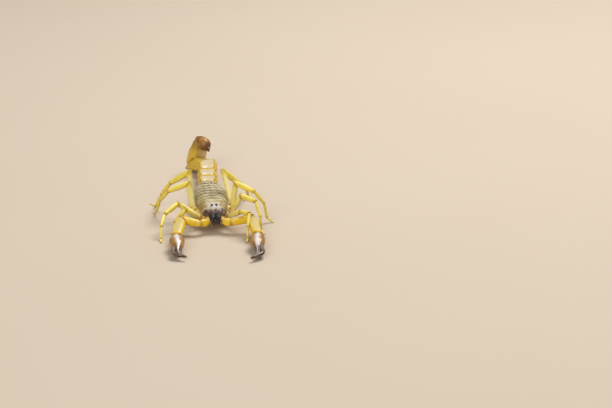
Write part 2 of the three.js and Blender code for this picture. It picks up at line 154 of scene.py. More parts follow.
sample = follow(np.linspace(0, 1, 5), [(0, 1), (0.4, 2), (1, 1.5)])
print("a profile from neck to rim:", np.round(sample, 2))

# %% [markdown]
# ## Shells that carry their own markings
# A shell is a grid of points, closed round and shut at both ends, or a thin curved plate
# with an outer and an inner face. Each point keeps a few marks: how dark or pale it is
# painted there, painted shade below and painted highlights on top included, how big a granule
# sits on it, how gritty and how hairy it is, and which way the hairs lie. The colours then follow the body,
# whatever way it is turned.
# Every body also gets its own cell in one map, as if the shells were laid out flat.

# %% Gather bodies into one piece
MARKS = ("tone", "pale", "grain", "grit", "hair")
MAP_CELLS, MAP_MARGIN = 18, 0.06
bodies_made = 0


def map_cell(rows, cols):
    """Map places for a grid of points, laid flat in the next free cell of the map."""
    global bodies_made
    cell = np.array([bodies_made % MAP_CELLS, bodies_made // MAP_CELLS % MAP_CELLS])
    bodies_made += 1
    flat = np.stack(np.meshgrid(np.arange(cols + 1) / cols, np.arange(rows) / (rows - 1)), axis=2)
    return (cell + MAP_MARGIN + (1 - 2 * MAP_MARGIN) * flat) / MAP_CELLS


def over_grid(values, rows, cols, plate):
    """One mark for every point of a grid; the inner face of a plate is left blank."""
    outer = np.broadcast_to(values, (rows, cols // 2 if plate else cols))
    return np.concatenate([outer, 0 * outer], axis=1) if plate else outer


class Shell:
    """The bodies of one piece: their points, faces, map places, marks and headings."""

    def __init__(self):
        self.points, self.faces, self.maps, self.lie = [], [], [], []
        self.marks = {name: [] for name in MARKS}
        self.count = 0

    def add(self, grid, lie=AHEAD, plate=False, **marks):
        """A closed body from rings of points in mm; a plate folds over at mid-ring."""
        rows, cols = grid.shape[:2]
        flat = map_cell(rows, cols)
        index = self.count + np.arange(rows * cols).reshape(rows, cols)
        i, j = [k.ravel() for k in np.meshgrid(np.arange(rows - 1), np.arange(cols), indexing="ij")]
        beside = (j + 1) % cols
        self.add_faces([index[i, j], index[i, beside], index[i + 1, beside], index[i + 1, j]],
                       [flat[i, j], flat[i, j + 1], flat[i + 1, j + 1], flat[i + 1, j]])
        full = {name: over_grid(marks.get(name, 0.0), rows, cols, plate) for name in MARKS}
        points = [grid.reshape(-1, 3)]
        hubs = {name: [] for name in MARKS}
        for row in (0, rows - 1):
            if plate:
                a = np.arange(cols // 2 - 1)
                across_fold = [a, a + 1, cols - 2 - a, cols - 1 - a]
                self.add_faces([index[row, k] for k in across_fold], [flat[row, k] for k in across_fold])
                continue
            hub = self.count + rows * cols + len(points) - 1
            points.append(grid[row].mean(axis=0)[None])
            for name in MARKS:
                hubs[name].append(0.0 if name == "grain" else full[name][row].mean())
            k = np.arange(cols)
            self.add_faces([index[row, k], index[row, (k + 1) % cols], np.full(cols, hub)],
                           [flat[row, k], flat[row, k + 1], (flat[row, k] + flat[row, k + 1]) / 2])
        points = np.vstack(points)
        for name in MARKS:
            self.marks[name].append(np.concatenate([full[name].ravel(), hubs[name]]))
        lie = np.broadcast_to(lie, (rows, cols, 3)).reshape(-1, 3)
        spare = np.broadcast_to(lie[-1], (len(points) - len(lie), 3))
        self.lie.append(np.vstack([lie, spare]))
        self.points.append(points)
        self.count += len(points)
        return self

    def add_faces(self, corners, places):
        self.faces += np.stack(corners, 1).tolist()
        self.maps.append(np.stack(places, 1).reshape(-1, 2))

    def mesh(self, name):
        """The finished mesh, with its marks, its map and the way its hairs lie."""
        data = bpy.data.meshes.new(name)
        data.from_pydata(np.vstack(self.points) * MM + SHIFT, [], self.faces)
        layer = data.uv_layers.new(name="ShellMap")
        layer.data.foreach_set("uv", np.vstack(self.maps).ravel())
        for mark in MARKS:
            data.attributes.new(mark, "FLOAT", "POINT").data.foreach_set(
                "value", np.concatenate(self.marks[mark]).astype(np.float32))
        data.attributes.new("lie", "FLOAT_VECTOR", "POINT").data.foreach_set(
            "vector", np.vstack(self.lie).astype(np.float32).ravel())
        work = bmesh.new()
        work.from_mesh(data)
        bmesh.ops.recalc_face_normals(work, faces=work.faces)
        work.to_mesh(data)
        work.free()
        data.polygons.foreach_set("use_smooth", [True] * len(data.polygons))
        return data


print("marks on every point:", MARKS)

# %% [markdown]
# ## Node trees in a few lines
# Both kinds of tree below, for shapes and for finishes, are built with the same two
# helpers: one makes a tree with named inputs, the other puts in a node and feeds it.

# %% Make a tree and put nodes in it
def new_tree(name, kind, inputs, outputs):
    """An empty tree with named sockets, and the outlets that its inputs come from."""
    tree = bpy.data.node_groups.new(name, kind)
    for label, socket, value in inputs:
        made = tree.interface.new_socket(label, in_out="INPUT", socket_type=f"NodeSocket{socket}")
        if value is not None:
            made.default_value = value
    for label, socket in outputs:
        tree.interface.new_socket(label, in_out="OUTPUT", socket_type=f"NodeSocket{socket}")
    return tree, tree.nodes.new("NodeGroupInput").outputs


def put(tree, kind, feeds, **settings):
    """Adds a node; a feed is either a socket to link from or a plain value."""
    node = tree.nodes.new(kind)
    for key, value in settings.items():
        setattr(node, key, value)
    for key, value in feeds.items():
        if isinstance(value, bpy.types.NodeSocket):
            tree.links.new(value, node.inputs[key])
        else:
            node.inputs[key].default_value = value
    return node


def calc(tree, operation, *values, kind="ShaderNodeMath"):
    """The outlet of one sum, of numbers or, with another kind of node, of vectors."""
    node = put(tree, kind, dict(enumerate(values)), operation=operation)
    return node.outputs["Value" if kind == "ShaderNodeMath" else "Vector"]


def mark_of(tree, name, vector=False):
    """Reads a mark of the mesh, in a tree for shapes or in one for finishes."""
    if tree.bl_idname == "ShaderNodeTree":
        node = put(tree, "ShaderNodeAttribute", {}, attribute_name=name)
        return node.outputs["Vector" if vector else "Fac"]
    kind = "FLOAT_VECTOR" if vector else "FLOAT"
    return put(tree, "GeometryNodeInputNamedAttribute", {"Name": name}, data_type=kind).outputs[0]


def wear_tree(obj, tree, **values):
    """Runs a shape tree on an object and keeps the result as its plain mesh."""
    modifier = obj.modifiers.new(tree.name, "NODES")
    modifier.node_group = tree
    for item in tree.interface.items_tree:
        if item.in_out == "INPUT" and item.name in values:
            modifier[item.identifier] = values[item.name]
    graph = bpy.context.evaluated_depsgraph_get()
    made = bpy.data.meshes.new_from_object(
        obj.evaluated_get(graph), preserve_all_data_layers=True, depsgraph=graph)
    obj.modifiers.clear()
    old, obj.data = obj.data, made
    bpy.data.meshes.remove(old)
    return obj


# %% [markdown]
# ## Granules
# The keels of a scorpion are rows of hard beads, and the plates between them are gritty.
# Modelling each bead by hand would be endless, and a bump map would leave the outline
# smooth. A geometry tree sets one small bead on each marked point of a shell, and more
# of them at random where the shell is marked gritty, and joins them all to it.

# %% The granule tree
granules, given = new_tree("granules", "GeometryNodeTree", [
    ("Geometry", "Geometry", None),
    ("Bead Scale", "Float", 1.0),
    ("Grit Gap", "Float", 0.0003),
    ("Grit Size", "Float", 0.00008),
    ("Seed", "Int", 3),
    ("Finish", "Material", None),
], [("Geometry", "Geometry")])
BEAD_SIZES = (0.75, 1.2)
bead = put(granules, "GeometryNodeMeshUVSphere", {"Segments": 7, "Rings": 4, "Radius": 1.0})
bead = put(granules, "GeometryNodeSetShadeSmooth", {"Geometry": bead.outputs["Mesh"]})
bead_size = put(granules, "FunctionNodeRandomValue", {
    2: BEAD_SIZES[0], 3: BEAD_SIZES[1], "Seed": given["Seed"]}).outputs[1]
grain = mark_of(granules, "grain")
big = put(granules, "ShaderNodeCombineXYZ", {})
reach = calc(granules, "MULTIPLY", calc(granules, "MULTIPLY", grain, bead_size), given["Bead Scale"])
for axis in "XYZ":
    granules.links.new(reach, big.inputs[axis])
facing = put(granules, "FunctionNodeAlignRotationToVector", {
    "Vector": put(granules, "GeometryNodeInputNormal", {}).outputs[0]}, axis="Z")
crest = put(granules, "GeometryNodeInstanceOnPoints", {
    "Points": given["Geometry"],
    "Selection": calc(granules, "GREATER_THAN", grain, 0.0),
    "Instance": bead.outputs[0],
    "Rotation": facing.outputs[0],
    "Scale": big.outputs[0],
})
own_square = calc(granules, "MULTIPLY", given["Grit Gap"], given["Grit Gap"])
sown = put(granules, "GeometryNodeDistributePointsOnFaces", {
    "Mesh": given["Geometry"],
    "Distance Min": given["Grit Gap"],
    "Density Max": calc(granules, "DIVIDE", 1.0, own_square),
    "Density Factor": mark_of(granules, "grit"),
    "Seed": given["Seed"],
}, distribute_method="POISSON")
grit = put(granules, "GeometryNodeInstanceOnPoints", {
    "Points": sown.outputs["Points"],
    "Instance": bead.outputs[0],
    "Rotation": sown.outputs["Rotation"],
    "Scale": calc(granules, "MULTIPLY", bead_size, given["Grit Size"]),
})
all_shapes = put(granules, "GeometryNodeJoinGeometry", {})
for source in (grit.outputs[0], crest.outputs[0], given["Geometry"]):
    granules.links.new(source, all_shapes.inputs[0])
real = put(granules, "GeometryNodeRealizeInstances", {"Geometry": all_shapes.outputs[0]})
dressed = put(granules, "GeometryNodeSetMaterial", {
    "Geometry": real.outputs[0], "Material": given["Finish"]})
put(granules, "NodeGroupOutput", {"Geometry": dressed.outputs[0]})
print("granule tree:", len(granules.nodes), "nodes")

# %% [markdown]
# ## Bristles
# Sensory hairs stand on the legs, the arms and the tail. Each is a thin horn of cuticle,
# bent over towards the tip of the limb. The tree sows roots over the hairy parts of the
# shells, stands one bent horn on each, and makes it real mesh. Each bristle also gets
# a tiny patch on a map, at the place of its root.

# %% The bristle tree
bristles, given = new_tree("bristles", "GeometryNodeTree", [
    ("Geometry", "Geometry", None),
    ("Per Square Metre", "Float", 1.0e6),
    ("Length", "Float", 0.0007),
    ("Slenderness", "Float", 0.05),
    ("Bend", "Float", 0.35),
    ("Seed", "Int", 5),
    ("Finish", "Material", None),
], [("Geometry", "Geometry")])
PATCH = 0.003
HAIR_SIZES = (0.45, 1.15)
HAIR_LEAN = 0.65
horn = put(bristles, "GeometryNodeMeshCone", {
    "Vertices": 3, "Side Segments": 3, "Radius Top": 0.12, "Radius Bottom": 1.0, "Depth": 1.0})
spot = put(bristles, "GeometryNodeInputPosition", {}).outputs[0]
spot = put(bristles, "ShaderNodeSeparateXYZ", {0: spot})
square = calc(bristles, "MULTIPLY", spot.outputs[2], spot.outputs[2])
droop = calc(bristles, "MULTIPLY", square, given["Bend"])
slim = put(bristles, "ShaderNodeCombineXYZ", {
    0: calc(bristles, "ADD", calc(bristles, "MULTIPLY", spot.outputs[0], given["Slenderness"]), droop),
    1: calc(bristles, "MULTIPLY", spot.outputs[1], given["Slenderness"]),
    2: spot.outputs[2],
})
own = put(bristles, "ShaderNodeCombineXYZ", {
    0: calc(bristles, "MULTIPLY", spot.outputs[0], 0.5 * PATCH),
    1: calc(bristles, "MULTIPLY", calc(bristles, "SUBTRACT", spot.outputs[2], 0.5), PATCH),
})
horn = put(bristles, "GeometryNodeStoreNamedAttribute", {
    "Geometry": horn.outputs["Mesh"], "Name": "along", "Value": spot.outputs[2]}, data_type="FLOAT")
horn = put(bristles, "GeometryNodeStoreNamedAttribute", {
    "Geometry": horn.outputs[0], "Name": "own", "Value": own.outputs[0]}, data_type="FLOAT_VECTOR")
horn = put(bristles, "GeometryNodeSetPosition", {"Geometry": horn.outputs[0], "Position": slim.outputs[0]})
horn = put(bristles, "GeometryNodeSetShadeSmooth", {"Geometry": horn.outputs[0]})
sown = put(bristles, "GeometryNodeDistributePointsOnFaces", {
    "Mesh": given["Geometry"],
    "Density": calc(bristles, "MULTIPLY", given["Per Square Metre"], mark_of(bristles, "hair")),
    "Seed": given["Seed"],
}, distribute_method="RANDOM")
lie = mark_of(bristles, "lie", vector=True)
lean = put(bristles, "ShaderNodeVectorMath", {0: lie, "Scale": HAIR_LEAN}, operation="SCALE").outputs[0]
lean = calc(bristles, "ADD", lean, sown.outputs["Normal"], kind="ShaderNodeVectorMath")
turn = put(bristles, "FunctionNodeAxesToRotation", {"Primary Axis": lean, "Secondary Axis": lie},
           primary_axis="Z", secondary_axis="X")
tall = put(bristles, "FunctionNodeRandomValue", {
    2: HAIR_SIZES[0], 3: HAIR_SIZES[1], "Seed": given["Seed"]}).outputs[1]
coat = put(bristles, "GeometryNodeInstanceOnPoints", {
    "Points": sown.outputs["Points"],
    "Instance": horn.outputs[0],
    "Rotation": turn.outputs[0],
    "Scale": calc(bristles, "MULTIPLY", tall, given["Length"]),
})
real = put(bristles, "GeometryNodeRealizeInstances", {"Geometry": coat.outputs[0]})
root_place = calc(bristles, "ADD", mark_of(bristles, "ShellMap", vector=True),
                  mark_of(bristles, "own", vector=True), kind="ShaderNodeVectorMath")
mapped = put(bristles, "GeometryNodeStoreNamedAttribute", {
    "Geometry": real.outputs[0], "Name": "OFBake", "Value": root_place},
    data_type="FLOAT2", domain="CORNER")
dressed = put(bristles, "GeometryNodeSetMaterial", {
    "Geometry": mapped.outputs[0], "Material": given["Finish"]})
put(bristles, "NodeGroupOutput", {"Geometry": dressed.outputs[0]})
print("bristle tree:", len(bristles.nodes), "nodes")

# %% [markdown]
# ## The finish of cuticle
# Scorpion cuticle is a waxy, slightly translucent plastic-like skin. Its colour clouds
# gently, is darker on keels and joints and paler on soft folds, and its surface is
# pricked with tiny pores. One shader group makes all of that from a base, a dark and
# a pale colour. The dark and pale marks it follows also hold painted shade on the undersides
# and painted highlights along the tops of many pieces. Each finish puts its own values in, and keeps its
# shader to itself.

# %% The cuticle group
def paint(red, green, blue):
    """A colour given as 0 to 255, in the linear values that shaders use."""
    return (*[(c / 255 / 12.92 if c < 10 else ((c / 255 + 0.055) / 1.055) ** 2.4)
              for c in (red, green, blue)], 1.0)


def mix_paint(tree, factor, first, second):
    """One colour that turns into another as the factor goes from 0 to 1."""
    return put(tree, "ShaderNodeMix", {0: factor, 6: first, 7: second}, data_type="RGBA").outputs[2]


cuticle, given = new_tree("cuticle", "ShaderNodeTree", [
    ("Base", "Color", None), ("Dark", "Color", None), ("Pale", "Color", None),
    ("Cloud", "Float", 0.5), ("Cloud Scale", "Float", 500.0), ("Net", "Float", 0.0),
    ("Pore Scale", "Float", 6000.0), ("Roughness", "Float", 0.4),
], [("Color", "Color"), ("Roughness", "Float"), ("Height", "Float")])
SPECK_FINENESS, SPECK_TONE, SPECK_SHINE = 7.0, 0.22, 0.25
NET_FINENESS, NET_BEND, NET_STRAND = 2.6, 0.0014, 0.3
PORE_HEIGHT, SPECK_HEIGHT = 0.45, 0.35


def noise(tree, place, scale, **settings):
    feeds = {"Vector": place, "Scale": scale, **settings}
    return put(tree, "ShaderNodeTexNoise", feeds).outputs


place = put(cuticle, "ShaderNodeTexCoord", {}).outputs["Object"]
clouds = noise(cuticle, place, given["Cloud Scale"], Detail=4.0, Roughness=0.6)[0]
speck_scale = calc(cuticle, "MULTIPLY", given["Cloud Scale"], SPECK_FINENESS)
specks = noise(cuticle, place, speck_scale, Detail=2.0)[0]
specks_about = calc(cuticle, "SUBTRACT", specks, 0.5)
drift = calc(cuticle, "MULTIPLY", calc(cuticle, "SUBTRACT", clouds, 0.5), given["Cloud"])
patchy = calc(cuticle, "ADD", mark_of(cuticle, "tone"), drift)
patchy = calc(cuticle, "ADD", patchy, calc(cuticle, "MULTIPLY", specks_about, SPECK_TONE))
bend = noise(cuticle, place, given["Cloud Scale"], Detail=3.0)[1]
bend = put(cuticle, "ShaderNodeVectorMath", {0: bend, "Scale": NET_BEND}, operation="SCALE").outputs[0]
bent = calc(cuticle, "ADD", place, bend, kind="ShaderNodeVectorMath")
cells = put(cuticle, "ShaderNodeTexVoronoi", {
    "Vector": bent, "Scale": calc(cuticle, "MULTIPLY", given["Cloud Scale"], NET_FINENESS)},
    feature="DISTANCE_TO_EDGE").outputs[0]
strand = put(cuticle, "ShaderNodeMapRange", {0: cells, 1: 0.0, 2: NET_STRAND, 3: 1.0, 4: 0.0},
             interpolation_type="SMOOTHSTEP")
net = calc(cuticle, "MULTIPLY", strand.outputs[0], given["Net"])
darkness = put(cuticle, "ShaderNodeClamp", {0: calc(cuticle, "ADD", patchy, net)}).outputs[0]
color = mix_paint(cuticle, darkness, given["Base"], given["Dark"])
lightness = calc(cuticle, "SUBTRACT", mark_of(cuticle, "pale"), drift)
paleness = put(cuticle, "ShaderNodeClamp", {0: lightness}).outputs[0]
color = mix_paint(cuticle, paleness, color, given["Pale"])
pores = put(cuticle, "ShaderNodeTexVoronoi", {"Vector": place, "Scale": given["Pore Scale"]}).outputs[0]
height = calc(cuticle, "ADD", calc(cuticle, "MULTIPLY", pores, PORE_HEIGHT),
              calc(cuticle, "MULTIPLY", specks, SPECK_HEIGHT))
rough = calc(cuticle, "ADD", given["Roughness"], calc(cuticle, "MULTIPLY", specks_about, SPECK_SHINE))
put(cuticle, "NodeGroupOutput", {"Color": color, "Roughness": rough, "Height": height})
print("cuticle group:", len(cuticle.nodes), "nodes")

# %% [markdown]
# ## The palette
# Sand and straw yellows on the shields, legs and tail, a greyer back, amber hands with
# brown fingers, a brown telson with a nearly black sting, dark jaws and cream below.

# %% Every finish from the one group
# The pale colours of the shield, arms, hands, legs, tail and telson are laid on mostly as painted
# highlights along their tops; on the back plates, belly and soft skin the pale is their own.
PALETTE = {
    # finish: base, dark, pale, cloud, cloud scale, net, roughness, bump in mm, coat
    "shield_sand": ((188, 166, 92), (84, 46, 26), (226, 218, 210), 0.9, 420, 0.0, 0.42, 0.034, 0.1),
    "back_grey": ((216, 197, 136), (72, 58, 38), (248, 236, 196), 0.7, 420, 0.0, 0.42, 0.030, 0.1),
    "soft_skin": ((206, 168, 92), (142, 106, 56), (226, 198, 130), 0.5, 700, 0.0, 0.55, 0.040, 0.0),
    "underside_cream": ((226, 190, 104), (160, 114, 48), (240, 216, 150), 0.5, 500, 0.0, 0.38, 0.018, 0.15),
    # The jaws' dark base is partly their own brown and partly painted shade from under the head shield.
    "mouth_dark": ((54, 27, 24), (18, 9, 8), (110, 64, 44), 0.7, 800, 0.45, 0.6, 0.03, 0.0),
    "arm_yellow": ((248, 206, 26), (156, 106, 28), (196, 182, 132), 0.6, 420, 0.0, 0.36, 0.028, 0.12),
    "claw_amber": ((168, 122, 50), (60, 32, 18), (232, 228, 224), 0.6, 420, 0.0, 0.27, 0.006, 0.2),
    "leg_yellow": ((246, 224, 84), (180, 138, 44), (240, 232, 176), 0.6, 500, 0.0, 0.4, 0.026, 0.1),
    "tail_sand": ((218, 180, 44), (140, 98, 34), (212, 198, 168), 0.7, 380, 0.0, 0.36, 0.030, 0.15),
    "telson_brown": ((176, 120, 36), (84, 46, 20), (190, 140, 70), 0.6, 420, 0.0, 0.36, 0.02, 0.15),
    "sting_dark": ((138, 84, 38), (30, 15, 9), (160, 100, 46), 0.5, 600, 0.0, 0.18, 0.005, 0.5),
    "eye_black": ((12, 9, 8), (4, 3, 3), (40, 30, 24), 0.4, 1500, 0.0, 0.06, 0.001, 1.0),
}
PORE_SCALE = 6500.0
COAT_ROUGHNESS = 0.12


def make_finish(name, base, dark, pale, cloud, cloud_scale, net, roughness, bump_mm, coat):
    """One finish: the group with this row's values in it, and a shader of its own."""
    material = bpy.data.materials.new(name)
    material.use_nodes = True
    tree = material.node_tree
    shader = tree.nodes["Principled BSDF"]
    group = put(tree, "ShaderNodeGroup", {}, node_tree=cuticle)
    values = {"Base": paint(*base), "Dark": paint(*dark), "Pale": paint(*pale), "Cloud": cloud,
              "Cloud Scale": cloud_scale, "Net": net, "Pore Scale": PORE_SCALE, "Roughness": roughness}
    for label, value in values.items():
        group.inputs[label].default_value = value
    relief = put(tree, "ShaderNodeBump", {
        "Height": group.outputs["Height"], "Distance": bump_mm * MM, "Strength": 1.0})
    tree.links.new(group.outputs["Color"], shader.inputs["Base Color"])
    tree.links.new(group.outputs["Roughness"], shader.inputs["Roughness"])
    tree.links.new(relief.outputs[0], shader.inputs["Normal"])
    shader.inputs["Coat Weight"].default_value = coat
    shader.inputs["Coat Roughness"].default_value = COAT_ROUGHNESS
    return material


finishes = {name: make_finish(name, *values) for name, values in PALETTE.items()}
print("finishes:", ", ".join(finishes))


# %% [markdown]
# The bristles are too thin for pores or clouds, so theirs is a plain little tree: brown
# at the root, straw at the tip, with a few darker ones.

# %% The bristle finish
def bristle_finish():
    material = bpy.data.materials.new("bristle_straw")
    material.use_nodes = True
    tree = material.node_tree
    shader = tree.nodes["Principled BSDF"]
    spot = put(tree, "ShaderNodeTexCoord", {}).outputs["Object"]
    cloud = put(tree, "ShaderNodeTexNoise", {"Vector": spot, "Scale": 900.0}).outputs[0]
    tipward = mix_paint(tree, mark_of(tree, "along"), paint(150, 98, 46), paint(220, 184, 116))
    tree.links.new(mix_paint(tree, cloud, tipward, paint(112, 70, 34)), shader.inputs["Base Color"])
    shader.inputs["Roughness"].default_value = 0.4
    return material


finishes["bristle_straw"] = bristle_finish()

# %% [markdown]
# ## One way to finish every piece
# Each piece rides on the one body of this still model, and the solids that it stands for
# are hidden. The beads go on before that.

# %% Turn a shell into a piece
hairy_shells = {}
SEED = 3


def make_piece(name, shell, finish, *nodes, slot=None, coat=None, grit_gap=0.34, grit_size=0.075):
    """One finished piece in place of the named solids; gaps and sizes of grit in mm."""
    piece = bpy.data.objects.new(name, shell.mesh(name))
    bpy.context.collection.objects.link(piece)
    wear_tree(piece, granules, **{
        "Bead Scale": MM, "Grit Gap": grit_gap * MM, "Grit Size": grit_size * MM,
        "Seed": SEED + len(name), "Finish": finishes[finish]})
    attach(piece, "root")
    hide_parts(*nodes)
    if coat:
        hairy_shells.setdefault(coat, []).append(shell)
    return piece


# %% [markdown]
# ## Tubes, limbs and plates
# A limb piece narrows to a neck that sits inside the rim of the one before. Its own far
# end opens into a shallow cup with a rounded rim, leaning to halve the angle of the
# joint, as the real collars do. A horn is the same without the cup, along a curve.

# %% Limb pieces with collars
NECK, NECK_LENGTH = 0.78, 0.8
# rings at the end of a piece and before its start: (place, size), both as shares of its half width
RIM = [(-0.30, 1.0), (-0.10, 1.0), (-0.02, 0.965), (0.0, 0.9),
       (-0.03, 0.83), (-0.22, 0.76), (-0.30, 0.4)]
DOME = [(-0.46, 0.2), (-0.42, 0.42), (-0.3, 0.62), (-0.12, 0.74)]
KEEL_WIDTH, BEAD_STEP = 0.11, 2


def joint_plane(before, joint, after):
    """The direction a joint faces, halfway between the pieces that meet there."""
    return unit(unit(joint - before) + unit(after - joint))


def ring_angles(cols):
    return np.linspace(0, 2 * math.pi, cols, endpoint=False)


def from_degrees(angles, degrees):
    """How far round from a direction, in radians either way."""
    return (angles - math.radians(degrees) + math.pi) % (2 * math.pi) - math.pi


def limb(points, index, widths, depth, power, hint, rows, cols, relief=None, gap=0.05, tilt=(1.1, 1.1)):
    """Rings of one limb piece, how far along it each is, their angles and its heading."""
    start, end = points[index], points[index + 1]
    length = np.linalg.norm(end - start)
    along = unit(end - start)
    side, up = across(along, hint)
    share = np.linspace(0, 1, rows)
    first, last = widths[0][1], widths[-1][1]
    reach = length - gap + last * RIM[0][0]
    body = share * reach
    neck = NECK + (1 - NECK) * ease(body / (NECK_LENGTH * first))
    dome_places, dome_sizes = first * np.array(DOME).T
    rim_places, rim_sizes = last * np.array(RIM[1:]).T
    distance = np.concatenate([dome_places, body, length - gap + rim_places])
    radius = np.concatenate([dome_sizes, follow(share, widths) * neck, rim_sizes])
    s = np.clip(distance / reach, 0, 1)[:, None]
    turn = ring_angles(cols)[None, :]
    wide = radius[:, None]
    if relief:
        clear = window(np.arange(len(distance)), len(DOME), len(distance) - len(RIM) + 2, 4)
        wide = wide + relief(s, turn) * clear[:, None]
    x = power_of(np.cos(turn), 2 / power) * wide
    z = power_of(np.sin(turn), 2 / power) * wide * depth
    spread = x[..., None] * side + z[..., None] * up
    slide = np.zeros_like(x)
    for at_end in (0, 1):
        joint = index + at_end
        if joint == 0 or joint + 1 >= len(points):
            continue
        plane = joint_plane(points[joint - 1], points[joint], points[joint + 1])
        most = tilt[at_end] * last
        lean = np.clip(-(spread @ plane) / (along @ plane), -most, most)
        off = np.abs(distance - at_end * length) / (1.5 * (last if at_end else first))
        slide += lean * (1 - ease(off))[:, None]
    return start + (distance[:, None] + slide)[..., None] * along + spread, s, turn, along


def keels(s, turn, ridges):
    """Ridge height in mm from (degrees, height, start, end) rows."""
    total = np.zeros(np.broadcast(s, turn).shape)
    for degrees, height, start, end, *_ in ridges:
        total = total + height * bump(from_degrees(turn, degrees), 0, KEEL_WIDTH) * window(s, start, end)
    return total


def beads(s, turn, ridges):
    """Bead sizes in mm on the points along each ridge; the last bead is the largest."""
    grain = np.zeros(np.broadcast(s, turn).shape)
    for degrees, _, start, end, size in ridges:
        column = np.argmin(np.abs(from_degrees(turn[0], degrees)))
        inside = [i for i in range(1, len(s) - 1) if start <= s[i, 0] <= end and s[i, 0] > s[i - 1, 0]]
        for i in inside[::BEAD_STEP]:
            grain[i, column] = size * (0.75 + 0.5 * s[i, 0] ** 2 + chance.uniform(-0.2, 0.22))
    return grain


def horn(points, widths, rows, cols, hint=UP, depth=1.0, power=2.0, relief=None):
    """Rings of a tapering horn along a curve, their shares, angles and headings."""
    path = curve_through(points, rows)
    heading = np.gradient(path, axis=0)
    share = np.linspace(0, 1, rows)[:, None]
    turn = ring_angles(cols)[None, :]
    wide = follow(share, widths) + (relief(share, turn) if relief else 0)
    grid = np.zeros((rows, cols, 3))
    for i in range(rows):
        side, up = across(heading[i], hint)
        x = power_of(np.cos(turn[0]), 2 / power) * wide[i]
        z = power_of(np.sin(turn[0]), 2 / power) * wide[i] * depth
        grid[i] = path[i] + x[:, None] * side + z[:, None] * up
    return grid, share, turn, heading[:, None, :] / np.linalg.norm(heading, axis=1)[:, None, None]


print("collar rings:", len(RIM), "neck rings:", len(DOME))

# %% [markdown]
# ## Head shield
# One plate covers the head: a low trapezoid, lower in front, with the two main eyes on
# a small hill, furrows where muscles pull inside, and beaded keels. It is made as a thin
# bent plate. A solid block would look right from above only, and the jaws go in under it.

# %% Shield outline and relief
CARAPACE_LENGTH = 9.2
FRONT_HALF, REAR_HALF = 3.75, 4.85
FRONT_TOP, REAR_TOP, BROW_DROP, SHIELD_UNDER = 6.45, 7.3, 0.8, 4.95
PLATE_THICKNESS = 0.24
EYE_T = EYE_Y / CARAPACE_LENGTH
SHIELD_KEELS = [
    # (share of the length, mm from the midline) along each beaded keel
    [(0.05, 1.15), (0.16, 0.85), (0.29, 0.5)],
    [(0.28, 0.46), (0.36, 0.5), (0.46, 0.5)],
    [(0.5, 0.7), (0.62, 0.95), (0.74, 0.9), (0.95, 2.0)],
    [(0.36, 2.1), (0.5, 2.35), (0.62, 2.2)],
    [(0.7, 2.5), (0.84, 2.75), (0.95, 3.3)],
    [(0.06, 2.3), (0.16, 2.55), (0.26, 2.45)],
]
BODY_KEEL_WIDTH = 0.16


def trunk_arc(y, half, top, bottom, degrees, power):
    """Points across the animal at each y; degrees run from its left edge over the back."""
    profile = np.broadcast_arrays(y, half, top, bottom)
    y, half, top, bottom = [np.asarray(values, float)[:, None] for values in profile]
    turn = np.radians(degrees)[None, :]
    middle = np.maximum((top + bottom) / 2 - 0.2 * (top - bottom), bottom + 0.01)
    rise = power_of(np.sin(turn), 2 / power)
    z = middle + rise * np.where(rise > 0, top - middle, middle - bottom)
    x = half * power_of(np.cos(turn), 2 / power)
    return np.stack([x, np.broadcast_to(y, x.shape), z], axis=2)


def outward(grid):
    """The direction away from the animal's middle at each point of an arc."""
    normal = np.cross(np.gradient(grid, axis=1), np.gradient(grid, axis=0))
    normal /= np.linalg.norm(normal, axis=2)[..., None] + 1e-12
    middle = grid.mean(axis=1, keepdims=True)
    return normal * np.sign(((grid - middle) * normal).sum(axis=2).mean())


def plate(outer, thickness):
    """Folds an inner face under an outer one; both thin out to a rounded margin."""
    rows, cols = np.arange(outer.shape[0]), np.arange(outer.shape[1])
    far_in = np.minimum.outer(np.minimum(rows, rows[::-1]), np.minimum(cols, cols[::-1]))
    edge = np.clip(far_in / 2, 0, 1)
    normal = outward(outer)
    outer = outer - normal * (thickness * 0.35 * (1 - edge) ** 2)[..., None]
    inner = outer - normal * (thickness * (0.3 + 0.7 * edge))[..., None]
    return np.concatenate([outer, inner[:, ::-1]], axis=1)


def keel_lines(grid, t, lines, height, bead):
    """Ridge heights and bead sizes for keels given by their distance from the midline."""
    x = grid[..., 0]
    ridge, grain = np.zeros(x.shape), np.zeros(x.shape)
    for line in lines:
        places, offsets = np.array(line).T
        for sign in ([1, -1] if max(abs(offsets)) > 0 else [1]):
            target = sign * np.interp(t, places, offsets)[:, None]
            inside = (t >= places[0]) & (t <= places[-1])
            ridge += height * bump(x, target, BODY_KEEL_WIDTH) * inside[:, None]
            for i in np.nonzero(inside)[0][::BEAD_STEP]:
                grain[i, np.argmin(np.abs(x[i] - target[i]))] = bead * chance.uniform(0.85, 1.2)
    return ridge, grain


def shield_half(t):
    return FRONT_HALF + (REAR_HALF - FRONT_HALF) * (0.45 * ease(t) + 0.55 * t)


def shield_top(t):
    return FRONT_TOP + (REAR_TOP - FRONT_TOP) * t**0.7 - BROW_DROP * bump(t, 0, 0.12)


def shield_grid(t):
    """The bare arched plate, its front corners rounded and its front edge bowed."""
    corner = np.minimum(1, 0.86 + 0.14 * (t / 0.05) ** 0.6)
    top = np.interp(corner, [0.86, 1], [-0.35, 0]) + shield_top(t)
    grid = trunk_arc(t * CARAPACE_LENGTH, shield_half(t) * corner, top, SHIELD_UNDER - 0.9,
                     np.linspace(2, 178, 95), 2.4)
    x, share = grid[..., 0], t[:, None]
    grid[..., 1] += (0.28 * bump(x, 0, 1.2) + 0.5 * (np.abs(x) / FRONT_HALF) ** 4) * (1 - share) ** 4
    return grid


